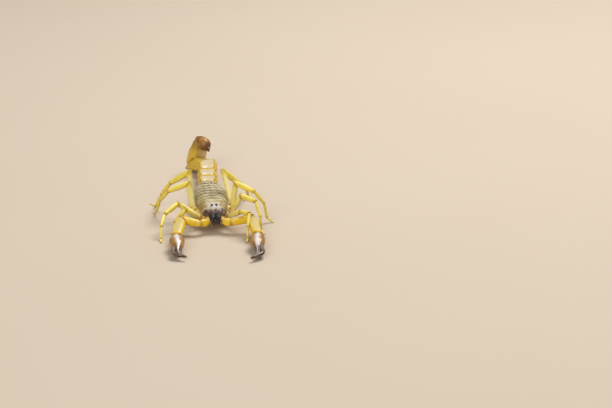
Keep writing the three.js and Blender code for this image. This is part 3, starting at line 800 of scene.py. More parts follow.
def shield_marks(x, share, furrows, grain):
    """Dark round the eyes, in the furrows and on the brow; a painted highlight over the middle."""
    off_middle = np.abs(x) / shield_half(share)
    brow = 1.5 * bump(share, 0.0, 0.19) * (0.85 + 0.25 * np.cos(4.2 * x))
    eye_patch = 0.75 * bump(np.hypot(x / 1.3, (share - EYE_T) / 0.13), 0, 1)
    tone = 0.16 + eye_patch + furrows + 0.25 * bump(share, 0.985, 0.02) + 0.3 * (grain > 0) + brow
    tone = tone + 0.34 * ease((off_middle - 0.4) / 0.35)
    tone = tone + 0.18 * ease((off_middle - 0.3) / 0.3) * np.cos(30 * share)
    # Paler over the middle and down the midline behind it: a painted highlight on the top of the shield.
    middle = bump(np.hypot(off_middle / 0.5, (share - 0.38) / 0.24), 0, 1)
    pale = 0.95 * middle * ease((share - 0.1) / 0.12)
    pale = pale + 0.35 * bump(off_middle, 0, 0.5) * ease((share - 0.4) / 0.3)
    grit = np.clip(0.75 - 0.6 * bump(np.abs(x), 0, 0.35), 0, 1) * window(share, 0.04, 0.96, 0.05)
    return {"tone": tone, "pale": pale, "grain": grain, "grit": grit,
            "hair": 0.1 * window(share, 0.0, 0.08)}


def build_shield():
    t = np.linspace(0, 1, 62)
    grid = shield_grid(t)
    x, share = grid[..., 0], t[:, None]
    ridge, grain = keel_lines(grid, t, SHIELD_KEELS, 0.1, 0.085)
    hill = 0.72 * bump(share, EYE_T, 0.105) * bump(x, 0, 0.74)
    furrow = 0.16 * bump(x, 0, 0.2) * bump(share, EYE_T, 0.09)
    furrow = furrow + 0.24 * bump(x, 0, 0.3) * (bump(share, 0.12, 0.1) + bump(share, 0.72, 0.16))
    side_furrow = 0.2 * bump(np.abs(x), 1.75 + 1.2 * (share - 0.55), 0.3) * bump(share, 0.6, 0.12)
    margin = 0.12 * bump(share, 0.95, 0.02) + 0.1 * bump(np.abs(x), shield_half(share) * 0.93, 0.16)
    lift = (hill + ridge - furrow - side_furrow - margin) * window(share, 0.0, 1.0, 0.05)
    grid = grid + outward(grid) * lift[..., None]
    marks = shield_marks(x, share, 1.2 * furrow + side_furrow, grain)
    shell = Shell().add(plate(grid, PLATE_THICKNESS), plate=True, **marks)
    return make_piece("carapace_shell", shell, "shield_sand", "carapace", coat="body",
                      grit_gap=0.27, grit_size=0.055)


EYE_SEARCH, EYE_SINK = 0.15, 0.03


def on_shield(at):
    """The height in mm at which a small eye sinks a little into the shield's outer face."""
    points = np.empty(3 * len(shield.data.vertices))
    shield.data.vertices.foreach_get("co", points)
    points = (points.reshape(-1, 3) - SHIFT) / MM
    near = np.hypot(points[:, 0] - at[0], points[:, 1] - at[1]) < EYE_SEARCH
    return points[near, 2].max() - EYE_SINK


shield = build_shield()
print("head shield:", len(shield.data.polygons), "faces")

# %% [markdown]
# ## Eyes
# Two black domes sit in the sides of the hill, each in a low rim, and three tiny ones
# stand in a row at each front corner. A dome is a lathe of a few rings rather than
# a ready sphere, so that its skirt spreads into the shield.

# %% Domes
DOME_TURNS = [-38, -20, 0, 15, 30, 45, 58, 70, 80, 87]
DOME_SKIRT = [1.14, 1.08]


def dome(centre, radius, facing, cols=22):
    """A lens of the given radius, with a skirt that spreads below it."""
    side, up = across(facing, AHEAD if abs(facing[1]) < 0.9 else UP)
    turns = np.radians(DOME_TURNS)
    out = np.concatenate([DOME_SKIRT, np.cos(turns[len(DOME_SKIRT):])]) * radius
    lift = np.sin(turns) * radius
    ring = ring_angles(cols)
    spread = np.cos(ring)[:, None] * side + np.sin(ring)[:, None] * up
    return centre + out[:, None, None] * spread + lift[:, None, None] * facing


for name, side in SIDES.items():
    centre = np.array([side * EYE_SPACING, EYE_Y, EYE_Z])
    facing = unit([side * 0.8, -0.15, 0.62])
    shell = Shell().add(dome(centre, EYE_RADIUS, facing))
    make_piece(f"eye_{name}", shell, "eye_black", f"eye_median_{name}")

CORNER_EYES = (0.17, 0.16, 0.12)
shell = Shell()
for side in SIDES.values():
    for k, radius in enumerate(CORNER_EYES):
        at = np.array([side * (2.3 + 0.2 * k), 0.75 + 0.36 * k, 0])
        at[2] = on_shield(at)
        shell.add(dome(at, radius, unit([side * 0.8, -0.35, 0.5]), 12))
make_piece("eyes_corner", shell, "eye_black", "carapace")
print("eyes: 2 large and", 2 * len(CORNER_EYES), "small")

# %% [markdown]
# ## Back plates
# Seven plates shingle down the back, each tucked under the one in front. The hidden front
# strip is smooth and low, the rest is gritty and ends in a row of beads over a pale
# margin. A middle keel and two side keels run down them and grow stronger to the rear.

# %% Trunk outline and the seven plates
SKIN_GAP = 0.22
TERGITE_LENGTHS = [1.9, 2.2, 2.7, 3.1, 3.4, 3.7, 4.4]
TRUNK_START = CARAPACE_LENGTH + SKIN_GAP
TRUNK_LENGTH = sum(TERGITE_LENGTHS)
TRUNK_HALF, TRUNK_END_HALF, TRUNK_WIDEST, TRUNK_TAPER = 5.85, 3.2, 0.5, 1.6
TRUNK_STEP, TRUNK_ARCH, TRUNK_END_TOP = 0.1, 0.7125, 6.7
TRUNK_UNDER, TRUNK_END_UNDER = 2.75, 2.6
TUCK, LAP, LAST_LAP = 0.35, 0.14, 0.1
TERGITE_THICKNESS, STERNITE_THICKNESS = 0.17, 0.15


def trunk_half(t):
    """Half the trunk's width, swelling to the middle and narrowing to the tail."""
    swell = REAR_HALF + (TRUNK_HALF - REAR_HALF) * np.sin(np.clip(t / TRUNK_WIDEST, 0, 1) * math.pi / 2)
    past_widest = np.clip((t - TRUNK_WIDEST) / (1 - TRUNK_WIDEST), 0, 1)
    return swell - (TRUNK_HALF - TRUNK_END_HALF) * past_widest**TRUNK_TAPER


def trunk_top(t):
    """The line of the back: a small step down from the shield, an arch, and a fall to the tail."""
    arch = np.sin(math.pi * np.clip(t * 1.15 + 0.1, 0, 1))
    start = REAR_TOP - TRUNK_STEP
    return start + (TRUNK_END_TOP - start) * t + TRUNK_ARCH * arch


def trunk_under(t):
    return TRUNK_UNDER + (TRUNK_END_UNDER - TRUNK_UNDER) * t


def trunk_rows(number, before, after, count):
    """Rows of one ring of the trunk: their y, their share of its plate and of the trunk."""
    start = TRUNK_START + sum(TERGITE_LENGTHS[:number - 1])
    length = TERGITE_LENGTHS[number - 1]
    y = np.linspace(start - before, start + length + after, count)
    return y, ((y - y[0]) / (y[-1] - y[0]))[:, None], np.clip((y - TRUNK_START) / TRUNK_LENGTH, 0, 1)


def tergite_keels(number, half):
    """A middle keel, and side keels from the second plate on; the last plate has five."""
    if number == 7:
        return [[(0.25, 0.0), (0.55, 0.0)], [(0.3, 1.15), (0.93, 1.35)], [(0.32, 2.15), (0.93, 2.3)]]
    lines = [[(0.3, 0.0), (0.97, 0.0)]]
    if number > 1:
        side = 0.36 * half.mean()
        lines.append([(0.55 - 0.03 * number, side * 0.9), (0.96, side)])
    return lines


def tergite_marks(number, x, share, off_middle, grain):
    """Two dark bands and a pale margin across each plate, fading towards the flanks."""
    near_side = ease((off_middle - 0.45) / 0.45)
    rear = ease((number - 3) / 4)
    bands = 1.7 * bump(share, 0.36, 0.085) + 1.6 * bump(share, 0.73, 0.075)
    beads_off_middle = 0.15 * (grain > 0) * (np.abs(x) > 0.3)
    tone = 0.06 - 0.06 * rear + 0.12 * near_side + bands * (1 - 0.62 * near_side) + beads_off_middle
    tone = tone + 0.55 * (1 - ease(share / 0.3))
    if number < 4:
        tone = tone + 0.35 * bump(x, 0, 1.4) * bump(share, 0.54, 0.2)
    pale = (0.9 - 0.45 * near_side) * ease((share - 0.84) / 0.08)
    pale = pale + (0.45 + 0.45 * rear) * bump(share, 0.55, 0.08) * (1 - near_side)
    grit = 0.95 * ease((share - 0.34) / 0.15) * (1 - 0.4 * bump(share, 0.93, 0.03))
    return {"tone": tone, "pale": pale, "grain": grain, "grit": grit}


def build_tergite(number):
    length = TERGITE_LENGTHS[number - 1]
    y, share, t = trunk_rows(number, TUCK, LAP if number < 7 else LAST_LAP, 14 + int(9 * length))
    half = trunk_half(t)
    low = 0.34 * (1 - ease(share[:, 0] / 0.34)) - 0.05
    grid = trunk_arc(y, half - low * 0.8, trunk_top(t) - low, trunk_under(t),
                     np.linspace(7, 173, 91), 2.5)
    x = grid[..., 0]
    ridge, grain = keel_lines(grid, share[:, 0], tergite_keels(number, half),
                              0.07 + 0.012 * number, 0.06 + 0.007 * number)
    grain = np.where(np.abs(x) < 0.3, 0.4, 1) * grain
    grain[-3, 4:-4:2] = 0.062
    swell = 0.06 * bump(share, 0.34, 0.05)
    swell = swell - 0.08 * bump(share, 0.27, 0.03) - 0.05 * bump(share, 0.9, 0.03)
    grid = grid + outward(grid) * (ridge + swell)[..., None]
    marks = tergite_marks(number, x, share, np.abs(x) / half[:, None], grain)
    shell = Shell().add(plate(grid, TERGITE_THICKNESS), plate=True, **marks)
    return make_piece(f"tergite_{number}", shell, "back_grey", "mesosoma",
                      grit_gap=0.24, grit_size=0.052)


tergites = [build_tergite(number) for number in range(1, 8)]
print("back plates:", len(tergites), "faces:", sum(len(p.data.polygons) for p in tergites))

# %% [markdown]
# ## Belly plates
# Five broad smooth plates close the belly, behind the combs. The first four each have a
# pair of slit-like openings to the book lungs, here as shallow creases with a dark line.

# %% Five sternites
def build_sternite(number):
    reach_on = 0.35 if number == 3 else 0.1
    length = TERGITE_LENGTHS[number - 1] + (0.25 if number == 3 else 0)
    y, share, t = trunk_rows(number, 0.25, reach_on, 12 + int(6 * length))
    half = trunk_half(t)
    low = 0.22 * (1 - ease(share[:, 0] / 0.25))
    grid = trunk_arc(y, half - 0.12 - low, trunk_top(t), trunk_under(t) + low,
                     np.linspace(-16, -164, 71), 2.5)
    x = grid[..., 0]
    slit = bump(np.hypot((np.abs(x) - 0.58 * half[:, None]) / 0.62, (share - 0.55) / 0.05), 0, 1)
    slit = slit * (number < 7)
    lines = [[(0.35, 0.9), (0.95, 1.0)], [(0.35, 1.9), (0.95, 2.0)]] if number == 7 else []
    ridge, grain = keel_lines(grid, share[:, 0], lines, 0.07, 0.07)
    grid = grid + outward(grid) * (ridge - 0.14 * slit)[..., None]
    shell = Shell().add(plate(grid, STERNITE_THICKNESS), plate=True,
                        tone=0.08 + 0.95 * slit + 0.3 * (1 - ease(share / 0.2)),
                        pale=0.5 * ease((share - 0.86) / 0.1), grain=grain, hair=0.08)
    return make_piece(f"sternite_{number}", shell, "underside_cream", "mesosoma", coat="body")


sternites = [build_sternite(number) for number in range(3, 8)]
print("belly plates:", len(sternites))

# %% [markdown]
# ## Places of the joints
# Each leg is five reaches, given by how far each swings rearward from straight out and
# how steeply it rises. The last reach drops until the foot meets the floor. The arms and
# the tail are given by their joints.

# %% Legs, arms and tail as joint rows
LEG_LENGTHS = {1: (7.0, 5.5, 4.6, 3.5, 2.2), 2: (8.0, 6.1, 5.2, 4.1, 2.2),
               3: (9.4, 7.2, 6.1, 4.9, 2.5), 4: (12.0, 8.8, 7.8, 6.2, 2.8)}
LEG_HALVES = {1: (0.7, 0.7, 0.52, 0.4, 0.34), 2: (0.74, 0.76, 0.56, 0.42, 0.35),
              3: (0.78, 0.82, 0.6, 0.44, 0.36), 4: (0.82, 0.86, 0.64, 0.46, 0.37)}
HIPS = {1: (4.6, 2.4, 3.7), 2: (5.6, 4.7, 3.8), 3: (6.2, 7.6, 3.9), 4: (6.5, 11.3, 3.9)}
LEG_SWINGS = {
    "left": {1: (-57, -65, -105, -100, -105), 2: (-42, -46, -60, -66, -70),
             3: (-22, -36, 26, 2, -6), 4: (110, 36, 66, 70, 70)},
    "right": {1: (-32, 0, -80, -86, -88), 2: (-18, -40, -72, -84, -88),
              3: (50, 12, 52, 66, 70), 4: (72, 34, 60, 60, 60)},
}
LEG_RISES = {
    "left": {1: (26, 11, -45, -80), 2: (58, -6, -62, -84),
             3: (82, -14, -52, -80), 4: (58, -40, -26, -53)},
    "right": {1: (34, -52, -33, -5), 2: (36, -20, -30, -52),
              3: (74, -23, -46, -59), 4: (80, -34, -44, -54)},
}
FOOT_LEVEL, FLOOR_ROOM = 0.14, 0.02
ARM_JOINTS = {
    "left": [(2.6, -2.7, 3.7), (5.0, -4.5, 3.9), (11.3, -3.9, 4.9),
             (12.2, -15.0, 3.2), (11.3, -23.1, 2.4)],
    "right": [(-2.6, -2.7, 3.7), (-5.0, -4.3, 3.9), (-10.9, -2.9, 5.0),
              (-13.2, -13.2, 3.2), (-13.4, -21.2, 2.4)],
}
FINGER_TIPS = {"left": (8.4, -31.0, 1.1), "right": (-10.9, -27.2, 1.1)}
THUMB_TIPS = {"left": (8.15, -31.05, 1.62), "right": (-10.65, -27.25, 1.62)}
TAIL_JOINTS = [(0.1, 30.9, 4.6), (0.5, 37.8, 4.4), (1.0, 45.7, 4.3), (1.8, 53.9, 4.7),
               (-2.4, 61.3, 3.1), (0.2, 60.3, 12.1), (2.3, 57.4, 9.6)]
TAIL_HALVES = [3.3, 3.35, 3.25, 3.1, 2.95]
TAIL_DEPTHS = [0.8, 0.8, 0.82, 0.84, 0.84]
TAIL_UPS = [(0, 0, 1), (0, 0, 1), (0, 0.05, 1), (0.35, -0.2, 0.9), (0.6, -0.8, 0.1)]
STING_BEND, STING_TIP = (2.3, 55.6, 9.6), (1.8, 54.6, 11.5)
ROOT_CENTRE, ROOT_SPREAD = 3.0, 0.75
ARM_ROOT_INWARD, ARM_ROOT_Y, ARM_ROOT_Z = 0.42, 1.6, 3.55


def leg_joints(side, number):
    """A leg's path: a root by the midline, the hip, and the five joints out to the toe."""
    hip = np.array(HIPS[number]) * (SIDES[side], 1, 1)
    path = [np.array((0, ROOT_CENTRE + ROOT_SPREAD * (hip[1] - ROOT_CENTRE), hip[2])), hip]
    for i, reach in enumerate(LEG_LENGTHS[number]):
        turn = math.radians(LEG_SWINGS[side][number][i])
        if i < 4:
            rise = math.radians(LEG_RISES[side][number][i])
        else:
            rise = math.asin(np.clip((FOOT_LEVEL - path[-1][2]) / reach, -0.98, 0.2))
        level = reach * math.cos(rise)
        step = [SIDES[side] * math.cos(turn) * level, math.sin(turn) * level, math.sin(rise) * reach]
        path.append(path[-1] + step)
    return path


def arm_joints(side):
    """An arm's path: a root under the head, and the joints out to the palm."""
    joints = [np.array(joint) for joint in ARM_JOINTS[side]]
    return [np.array((joints[0][0] * ARM_ROOT_INWARD, ARM_ROOT_Y, ARM_ROOT_Z)), *joints]


legs = {(side, number): leg_joints(side, number) for side in SIDES for number in (1, 2, 3, 4)}
arms = {side: arm_joints(side) for side in SIDES}
tail = [np.array(joint, float) for joint in TAIL_JOINTS]
tail.insert(0, tail[0] - AHEAD)
print("toes at", [np.round(path[-1], 1).tolist() for path in legs.values()][:2])

# %% [markdown]
# ## Tail
# Five thick segments, each a barrel with two strong beaded keels over a hollow back, more
# keels down the flanks and below, and a rim at its far end. The back of a fat-tailed
# species is broad and hollow enough to catch the sky, so the hollow is real shape.

# %% Tail segments
TAIL_KEELS = [
    # degrees from the left flank over the back, height, start, end, bead
    (50, 0.2, 0.06, 0.97, 0.15), (130, 0.2, 0.06, 0.97, 0.15),
    (14, 0.13, 0.1, 0.95, 0.115), (166, 0.13, 0.1, 0.95, 0.115),
    (-10, 0.08, 0.3, 0.95, 0.09), (190, 0.08, 0.3, 0.95, 0.09),
    (-38, 0.12, 0.08, 0.95, 0.1), (218, 0.12, 0.08, 0.95, 0.1),
    (-70, 0.08, 0.08, 0.95, 0.08), (250, 0.08, 0.08, 0.95, 0.08),
]
LAST_KEELS = [
    (42, 0.16, 0.08, 0.93, 0.13), (138, 0.16, 0.08, 0.93, 0.13), (2, 0.07, 0.1, 0.6, 0.08),
    (178, 0.07, 0.1, 0.6, 0.08), (-42, 0.17, 0.08, 0.95, 0.16), (222, 0.17, 0.08, 0.95, 0.16),
    (-90, 0.09, 0.08, 0.92, 0.09),
]


def both_sides(turn, degrees, width):
    """A hill at an angle up from the left flank and the same from the right."""
    return bump(from_degrees(turn, degrees), 0, width) + bump(from_degrees(turn, 180 - degrees), 0, width)


def tail_relief(number, ridges):
    """A hollow back between two swollen keels, a groove on each flank, and all the keels."""
    hollow = 0.55 if number < 5 else 0.36

    def relief(s, turn):
        back = -hollow * bump(from_degrees(turn, 90), 0, 0.42) * window(s, 0.05, 1.02, 0.16)
        flank = -0.12 * both_sides(turn, 31, 0.14)
        rise = 0.12 * both_sides(turn, 50, 0.3) * s**2
        return back + flank + rise + keels(s, turn, ridges)

    return relief


def tail_marks(number, s, turn, grain):
    """A painted reflection of the sky over the hollow back, painted shade below, and darker at the beads
    and towards the bulb.
    """
    top = ease((0.74 - np.abs(from_degrees(turn, 90))) / 0.42)
    tone = 0.06 + 0.3 * (s > 0.985) + 0.25 * (s < 0.02) + 0.3 * (grain > 0)
    # Painted shade on the underside, and the fourth and fifth segments painted lighter to make up for the
    # shade they stand in.
    tone = tone + 0.12 * np.maximum(0, -np.sin(turn)) - 0.12 * (number > 3)
    tone = tone + 0.75 * (number == 5) * ease((s - 0.45) / 0.5)
    # The pale over the hollow back is a painted reflection of the sky.
    pale = (0.95 if number < 4 else 0.4) * top * window(s, 0.04, 0.84 if number < 3 else 1.02, 0.2)
    grit = (0.3 + 0.35 * np.abs(np.cos(turn))) * (1 - 0.85 * top) * window(s, 0.06, 0.94)
    return {"tone": tone, "pale": pale, "grain": grain, "grit": grit,
            "hair": 0.14 * (1 - top) * window(s, 0.1, 1)}


def build_tail_segment(number):
    half, depth = TAIL_HALVES[number - 1], TAIL_DEPTHS[number - 1]
    ridges = TAIL_KEELS if number < 5 else LAST_KEELS
    if number == 3:
        ridges = [row for row in ridges if row[0] not in (-10, 190)]
    rim = 0.9 if number < 5 else 0.74
    sizes = [(0, 0.86), (0.16, 0.93), (0.45, 0.985), (0.8, rim + 0.07), (1, rim)]
    widths = [(share, size * half) for share, size in sizes]
    grid, s, turn, along = limb(tail, number, widths, depth, 2.8, np.array(TAIL_UPS[number - 1]),
                                rows=52, cols=96, relief=tail_relief(number, ridges),
                                tilt=(1.1, 1.1 if number < 5 else 0.35))
    marks = tail_marks(number, s, turn, beads(s, turn, ridges))
    return make_piece(f"metasoma_{number}_shell", Shell().add(grid, lie=along, **marks), "tail_sand",
                      f"metasoma_{number}", coat="body", grit_gap=0.42, grit_size=0.07)


tail_pieces = [build_tail_segment(number) for number in range(1, 6)]
print("tail segments:", len(tail_pieces), "faces:", sum(len(p.data.polygons) for p in tail_pieces))

# %% [markdown]
# ## Venom bulb and sting
# The last joint carries a pear-shaped bulb, smooth above and gritty below, which draws out
# into a dark curved needle. The bulb darkens towards the needle, so the two read as one.

# %% Bulb and needle
VESICLE_HALF = 2.2
VESICLE_SHAPE = [(0, 0.42), (0.1, 0.6), (0.24, 0.86), (0.48, 1.0), (0.72, 0.9), (0.9, 0.58), (1, 0.38)]
NEEDLE_SHAPE = [(0, 0.88), (0.1, 0.74), (0.3, 0.56), (0.6, 0.36), (0.88, 0.18), (1, 0.05)]
BULB_KEELS = [(-90, 0.05, 0.2, 0.75), (-60, 0.04, 0.2, 0.7), (240, 0.04, 0.2, 0.7)]
BULB_BEADS = [(degrees, 0, 0.25, 0.8, 0.085) for degrees in (-90, -68, -46, 248, 226)]


def bulb_relief(s, turn):
    below = bump(from_degrees(turn, -90), 0, 0.5)
    return 0.1 * below * bump(s, 0.5, 0.25) + keels(s, turn, BULB_KEELS)


def build_telson():
    root, end = tail[6], tail[7]
    along = unit(end - root)
    widths = [(share, VESICLE_HALF * size) for share, size in VESICLE_SHAPE]
    reach = np.linalg.norm(end - root)
    path = [root - 0.55 * along, root + 0.5 * reach * along, end + 0.1 * along]
    grid, s, turn, lie = horn(path, widths, rows=48, cols=60, depth=0.97, relief=bulb_relief)
    # Paler along the top of the bulb towards its root: a painted highlight.
    shell = Shell().add(
        grid, lie=lie, tone=0.2 + 0.6 * ease((s - 0.35) / 0.5) + 0.3 * (s < 0.1),
        pale=0.3 * bump(from_degrees(turn, 90), 0, 0.6) * (1 - ease(s)), grain=beads(s, turn, BULB_BEADS),
        grit=0.4 * np.maximum(0, -np.sin(turn)) * window(s, 0.15, 0.85), hair=0.5 * window(s, 0.12, 0.95))
    make_piece("telson_bulb", shell, "telson_brown", "telson_vesicle", coat="body")

    path = [end - 0.25 * along, np.array(STING_BEND), np.array(STING_TIP)]
    grid, s, turn, lie = horn(path, NEEDLE_SHAPE, rows=40, cols=28, hint=ACROSS)
    shell = Shell().add(grid, tone=0.3 + 0.7 * ease((s - 0.15) / 0.4))
    return make_piece("telson_needle", shell, "sting_dark", "telson_aculeus")


needle = build_telson()
print("needle:", len(needle.data.polygons), "faces")

# %% [markdown]
# ## Legs
# Eight legs of the same plan: a short ring at the hip, a deep thigh, a second deep piece,
# a slender shin, a foot, and a toe that ends in two hooked claws. Thighs are deeper than
# wide, with a beaded keel along the top and bottom. The shins end in small spurs.

# %% Leg pieces
KNEE_LEVEL, KNEE_ROOM = 15.6, 1.15
LEG_KEELS = [(90, 0.06, 0.24, 0.92, 0.055), (-90, 0.05, 0.24, 0.92, 0.05),
             (35, 0.03, 0.3, 0.9, 0.0), (145, 0.03, 0.3, 0.9, 0.0)]
LEG_GRIDS = [(40, 28), (36, 28), (26, 20), (24, 18), (20, 16)]
LEG_HAIR = [0.12, 0.2, 0.7, 1.3, 1.6]
TOE_END = 0.25
# stations are (ahead, aside, up) in mm from the end of the leg piece
TOE_CLAW = {"stations": [(-0.12, 0.1, 0), (0.3, 0.3, 0.16), (0.52, 0.42, -0.1)],
            "widths": [(0, 0.13), (0.4, 0.1), (1, 0.02)],
            "rows": 9, "tone": 0.9, "floor": 0, "tip_floor": 0.03}
SPUR = {"stations": [(-0.25, 0.22, -0.12), (0.1, 0.38, -0.32), (0.37, 0.42, -0.54)],
        "widths": [(0, 0.1), (0.5, 0.07), (1, 0.02)],
        "rows": 8, "tone": 0.7, "floor": FLOOR_ROOM}


def leg_widths(number, index):
    """Half widths along a leg piece; a thigh has a ring before its waist at the hip."""
    halves = (*LEG_HALVES[number], TOE_END)
    half = halves[index]
    belly = 1.03 if index < 2 else 1.0
    last = min(half, halves[index + 1] * 1.12)
    if index == 0:
        return [(0, 0.95 * half), (0.12, 1.04 * half), (0.17, 0.86 * half), (0.24, 0.98 * half),
                (0.55, belly * half), (1, last)]
    return [(0, 0.86 * half), (0.14, 0.95 * half), (0.5, belly * half),
            (0.85, 0.98 * last + 0.02), (1, last)]


def soft_ceiling(z):
    """Rounds off what stands above the knees' level, so that no knee leaves the outline."""
    over = np.maximum(z - KNEE_LEVEL, 0)
    return np.minimum(z, KNEE_LEVEL) + KNEE_ROOM * np.tanh(over / KNEE_ROOM)


def leg_keels(s, turn):
    return keels(s, turn, LEG_KEELS)


def leg_shell(path, number, index):
    """One leg piece, darker at its joints, with painted shade below and a painted highlight along its top.
    """
    deep_piece = index < 2
    depth, relief = (1.1, leg_keels) if deep_piece else (1.0, None)
    grid, s, turn, along = limb(path, index + 1, leg_widths(number, index), depth, 2.1, UP,
                                *LEG_GRIDS[index], relief, gap=0.03)
    grain = beads(s, turn, LEG_KEELS[:2]) if deep_piece else 0.0
    joint = bump(s, 1.0, 0.05) + 0.7 * bump(s, 0.0, 0.05)
    streaks = 0.12 * np.cos(3 * turn + 5 * s) * np.cos(9 * s)
    # The darkening towards the underside is painted shade.
    tone = 0.06 + 0.6 * joint + 0.3 * (grain > 0) + 0.3 * np.maximum(0, -np.sin(turn)) + streaks
    if index == 0:
        tone = tone + 0.6 * bump(s, 0.17, 0.03)
    # A painted highlight along the top of each piece.
    top = 0.4 * bump(from_degrees(turn, 90), 0, 0.75)
    return Shell().add(
        grid, lie=along, tone=tone, pale=(0.34 * (index == 0) + top) * window(s, 0.12, 0.88, 0.14),
        grain=grain, grit=0.25 * deep_piece * window(s, 0.2, 0.9),
        hair=LEG_HAIR[index] * window(s, 0.12, 1.1) * (grid[..., 2] > 1.0))


def add_hooks(shell, before, end, stations, widths, rows, tone, floor, tip_floor=-math.inf):
    """Two small hooks at the end of a leg piece, which don't dip into the floor."""
    along = unit(end - before)
    out, up = across(along, UP)
    for spread in (1, -1):
        path = [end + ahead * along + aside * spread * out + lift * up for ahead, aside, lift in stations]
        path[-1][2] = max(path[-1][2], tip_floor)
        hook = horn(path, widths, rows, cols=8)[0]
        hook[..., 2] = np.maximum(hook[..., 2], floor)
        shell.add(hook, tone=tone)


def build_leg(side, number):
    path = legs[side, number]
    shells = [leg_shell(path, number, index) for index in range(5)]
    add_hooks(shells[4], path[5], path[6], **TOE_CLAW)
    add_hooks(shells[3], path[4], path[5], **SPUR)
    for shell in shells:
        shell.points = [np.column_stack([points[:, :2], soft_ceiling(np.maximum(points[:, 2], 0))])
                        for points in shell.points]
    base = f"leg_{number}_{side}"
    for index, name in enumerate(("femur", "patella", "tibia")):
        make_piece(f"{base}_{name}_shell", shells[index], "leg_yellow", f"{base}_{name}",
                   coat="legs", grit_gap=0.4, grit_size=0.04)
    for index, name in ((3, "foot"), (4, "toe")):
        make_piece(f"{base}_{name}", shells[index], "leg_yellow", f"{base}_tarsus", coat="legs")


for side, number in legs:
    build_leg(side, number)
print("leg pieces:", 5 * len(legs))

# %% [markdown]
# ## Arms and claws
# The pedipalps are arms in four pieces, square in section with beaded edges. The hand of
# a fat-tailed scorpion is a smooth glossy bulb drawn out into a fixed finger, with
# a second finger hinged on its outer side. Fine rows of teeth line both fingers.

# %% Arm pieces
ARM_KEELS = [(45, 0.1, 0.08, 0.94, 0.085), (135, 0.1, 0.08, 0.94, 0.085),
             (-45, 0.1, 0.08, 0.94, 0.085), (-135, 0.1, 0.08, 0.94, 0.085),
             (180, 0.05, 0.15, 0.9, 0.07)]
ARM_PIECES = [
    # name, widths, depth
    ("trochanter", [(0, 1.05), (0.5, 1.3), (1, 1.15)], 0.95),
    ("femur", [(0, 1.02), (0.2, 1.15), (0.55, 1.25), (0.85, 1.3), (1, 1.32)], 0.95),
    ("patella", [(0, 1.25), (0.18, 1.5), (0.45, 1.75), (0.85, 1.62), (1, 1.5)], 0.82),
]
MANUS_HALF, MANUS_DEPTH = 2.42, 0.92
MANUS_RIBS = (25, 60, 95, 130, 165, -60, -120)
FINGER_LENGTH, FINGER_FORWARD, FINGER_CURVE = 8.4, 1.1, 0.45
MOVABLE_SHAPE = [(0, 0.7), (0.05, 0.92), (0.12, 0.9), (0.3, 0.78), (0.6, 0.6),
                 (0.86, 0.36), (0.96, 0.18), (1, 0.04)]


def finger_line(side, tip, shift, bulge):
    """Start, middle and tip of a finger that bulges outwards, and its outward direction."""
    wrist, palm = arms[side][4], arms[side][5]
    along = unit(palm - wrist)
    out = across(along, UP)[0]
    out = out * np.sign(out[0]) * SIDES[side]
    start = palm - 0.6 * along + shift * out
    middle = (start + np.array(tip)) / 2 + FINGER_LENGTH * bulge * out + FINGER_FORWARD * along
    return start, middle, np.array(tip), out


def finger_teeth(grid, s, inward, start):
    """Slanting rows of tiny teeth down the side of a finger that meets the other one."""
    grain = np.zeros(grid.shape[:2])
    middle = grid.mean(axis=1, keepdims=True)
    facing = ((grid - middle) * inward).sum(axis=2)
    for i in range(len(s) - 2):
        if s[i, 0] > start:
            column = (np.argmax(facing[i]) + (i % 7) // 3) % grid.shape[1]
            grain[i, column] = 0.06 if i % 7 else 0.1
    return grain


def build_arm_piece(side, index, name, widths, depth):
    ridges = ARM_KEELS if index else ARM_KEELS[:2]

    def relief(s, turn):
        return keels(s, turn, ridges)

    grid, s, turn, along = limb(arms[side], index + 1, widths, depth, 2.5, UP, 44, 48, relief)
    grain = beads(s, turn, ridges)
    tone = 0.05 + 0.5 * (bump(s, 1, 0.04) + bump(s, 0, 0.05)) + 0.35 * (grain > 0)
    # Painted shade under each arm piece.
    tone = tone + 0.45 * np.maximum(0, -np.sin(turn)) ** 2
    # The pale along the top, strongest on the patella, is a painted highlight.
    pale = (0.85 if index == 2 else 0.3) * bump(from_degrees(turn, 90), 0, 0.85) * window(s, 0.04, 0.94)
    shell = Shell().add(grid, lie=along, tone=tone, pale=pale, grain=grain,
                        grit=0.5 * window(s, 0.1, 0.9), hair=0.16 * window(s, 0.1, 1))
    make_piece(f"arm_{side}_{name}", shell, "arm_yellow", f"pedipalp_{side}_{name}",
               coat="arms", grit_gap=0.42, grit_size=0.06)


